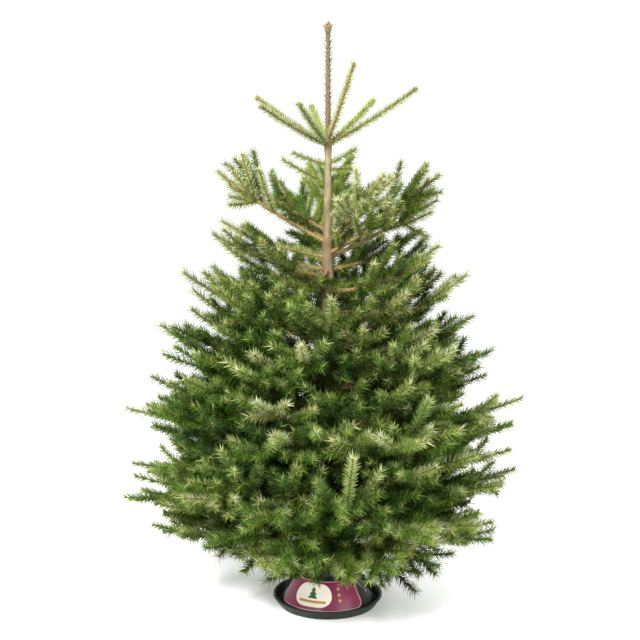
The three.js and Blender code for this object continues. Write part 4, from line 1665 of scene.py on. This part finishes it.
# %% The print
# Coated paper: even colour with a slight fade, a soft gloss, and a faint waviness from the glue.
LABEL_INKS = {"ground": "#7a1a42", "line": "#d9a8a4", "panel": "#ece5d6", "fir": "#2f5a2c", "gold": "#b08a3c"}
printed_paper = new_material("coated_paper_label", LABEL_INKS["ground"], 0.38)
paper_tree = printed_paper.node_tree
paper_uv = node(paper_tree, "ShaderNodeUVMap", uv_map="label_millimetres")
HALF = (half_width / MM, half_height / MM)
CORNER = LABEL_CORNER / MM
PANEL_AT = (-20.0, 2.0)
FIR_TOP = (PANEL_AT[0], 30, 0)
FIR_TIERS = {"number": 3.0, "height": -13.0, "flare": 11.0, "step_out": 3.5}  # counted downwards
BOXES = {
    # centre, half sizes and corner radius, in millimetres
    "line outside": ((0, 0), (HALF[0] - 2, HALF[1] - 2), CORNER - 2),
    "line inside": ((0, 0), (HALF[0] - 4.5, HALF[1] - 4.5), CORNER - 4.5),
    "panel": (PANEL_AT, (66, 40), 39),
    "band": ((PANEL_AT[0], -20), (46, 4.5), 4.4),
    "upper dot": ((72, 24), (5.5, 5.5), 5.4),
    "middle dot": ((72, 4), (5.5, 5.5), 5.4),
    "lower dot": ((72, -16), (5.5, 5.5), 5.4),
}
PRINTED = {  # each shape's ink, in the order in which they are laid
    "line": "line",
    "panel": "panel",
    "fir": "fir",
    "band": "gold",
    "upper dot": "gold",
    "middle dot": "gold",
    "lower dot": "gold",
}
masks = {}
for name, (centre, half_size, corner) in BOXES.items():
    core = (half_size[0] - corner, half_size[1] - corner, 0)
    steps = [
        ("far", "SUBTRACT", paper_uv, (*centre, 0)),
        ("far", "ABSOLUTE", "far"),
        ("far", "SUBTRACT", "far", core),
        ("far", "MAXIMUM", "far", (0, 0, 0)),
        ("far", "LENGTH", "far"),
    ]
    work_out(paper_tree, masks, "ShaderNodeVectorMath", steps)
    work_out(paper_tree, masks, "ShaderNodeMath", [(name, "LESS_THAN", "far", corner)])
from_fir = node(paper_tree, "ShaderNodeVectorMath", {0: paper_uv, 1: FIR_TOP}, operation="SUBTRACT")
fir_place = node(paper_tree, "ShaderNodeSeparateXYZ", {0: from_fir}).outputs
fir_steps = [
    ("line", "SUBTRACT", "line outside", "line inside"),
    # the fir: how many tiers down from its top a point lies, and how wide the fir is there
    ("tiers", "DIVIDE", fir_place["Y"], FIR_TIERS["height"]),
    ("whole tiers", "FLOOR", "tiers"),
    ("part of a tier", "FRACT", "tiers"),
    ("half width", "MULTIPLY", "part of a tier", FIR_TIERS["flare"]),
    ("half width", "MULTIPLY_ADD", "whole tiers", FIR_TIERS["step_out"], "half width"),
    ("across", "ABSOLUTE", fir_place["X"]),
    ("within", "LESS_THAN", "across", "half width"),
    ("below its top", "GREATER_THAN", "tiers", 0.0),
    ("above its foot", "LESS_THAN", "tiers", FIR_TIERS["number"]),
    ("fir", "MULTIPLY", "below its top", "above its foot"),
    ("fir", "MULTIPLY", "fir", "within"),
]
work_out(paper_tree, masks, "ShaderNodeMath", fir_steps)
print_colour = linear(LABEL_INKS["ground"])
for name, ink in PRINTED.items():
    inked = {"Factor": masks[name], "A": print_colour, "B": linear(LABEL_INKS[ink])}
    print_colour = node(paper_tree, "ShaderNodeMix", inked, data_type="RGBA")
fade = node(paper_tree, "ShaderNodeTexNoise", {"Vector": paper_uv, "Scale": 0.03, "Detail": 2.0})
fade_value = node(paper_tree, "ShaderNodeMapRange", {"Value": fade, "To Min": 0.88, "To Max": 1.12})
surface(
    printed_paper,
    Base_Color=node(paper_tree, "ShaderNodeHueSaturation", {"Color": print_colour, "Value": fade_value}),
    Roughness=node(paper_tree, "ShaderNodeMapRange", {"Value": fade, "To Min": 0.3, "To Max": 0.46}),
    Normal=node(paper_tree, "ShaderNodeBump", {"Height": fade, "Distance": 0.6 * MM, "Strength": 0.5}),
)
print(printed_paper.name, "has", len(paper_tree.nodes), "nodes")

# %% The label's piece
label = finished("stand_label", label_shell, printed_paper)
thickness = label.modifiers.new("paper_thickness", "SOLIDIFY")
thickness.thickness = 0.3 * MM
thickness.offset = 1.0
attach(label, "root")
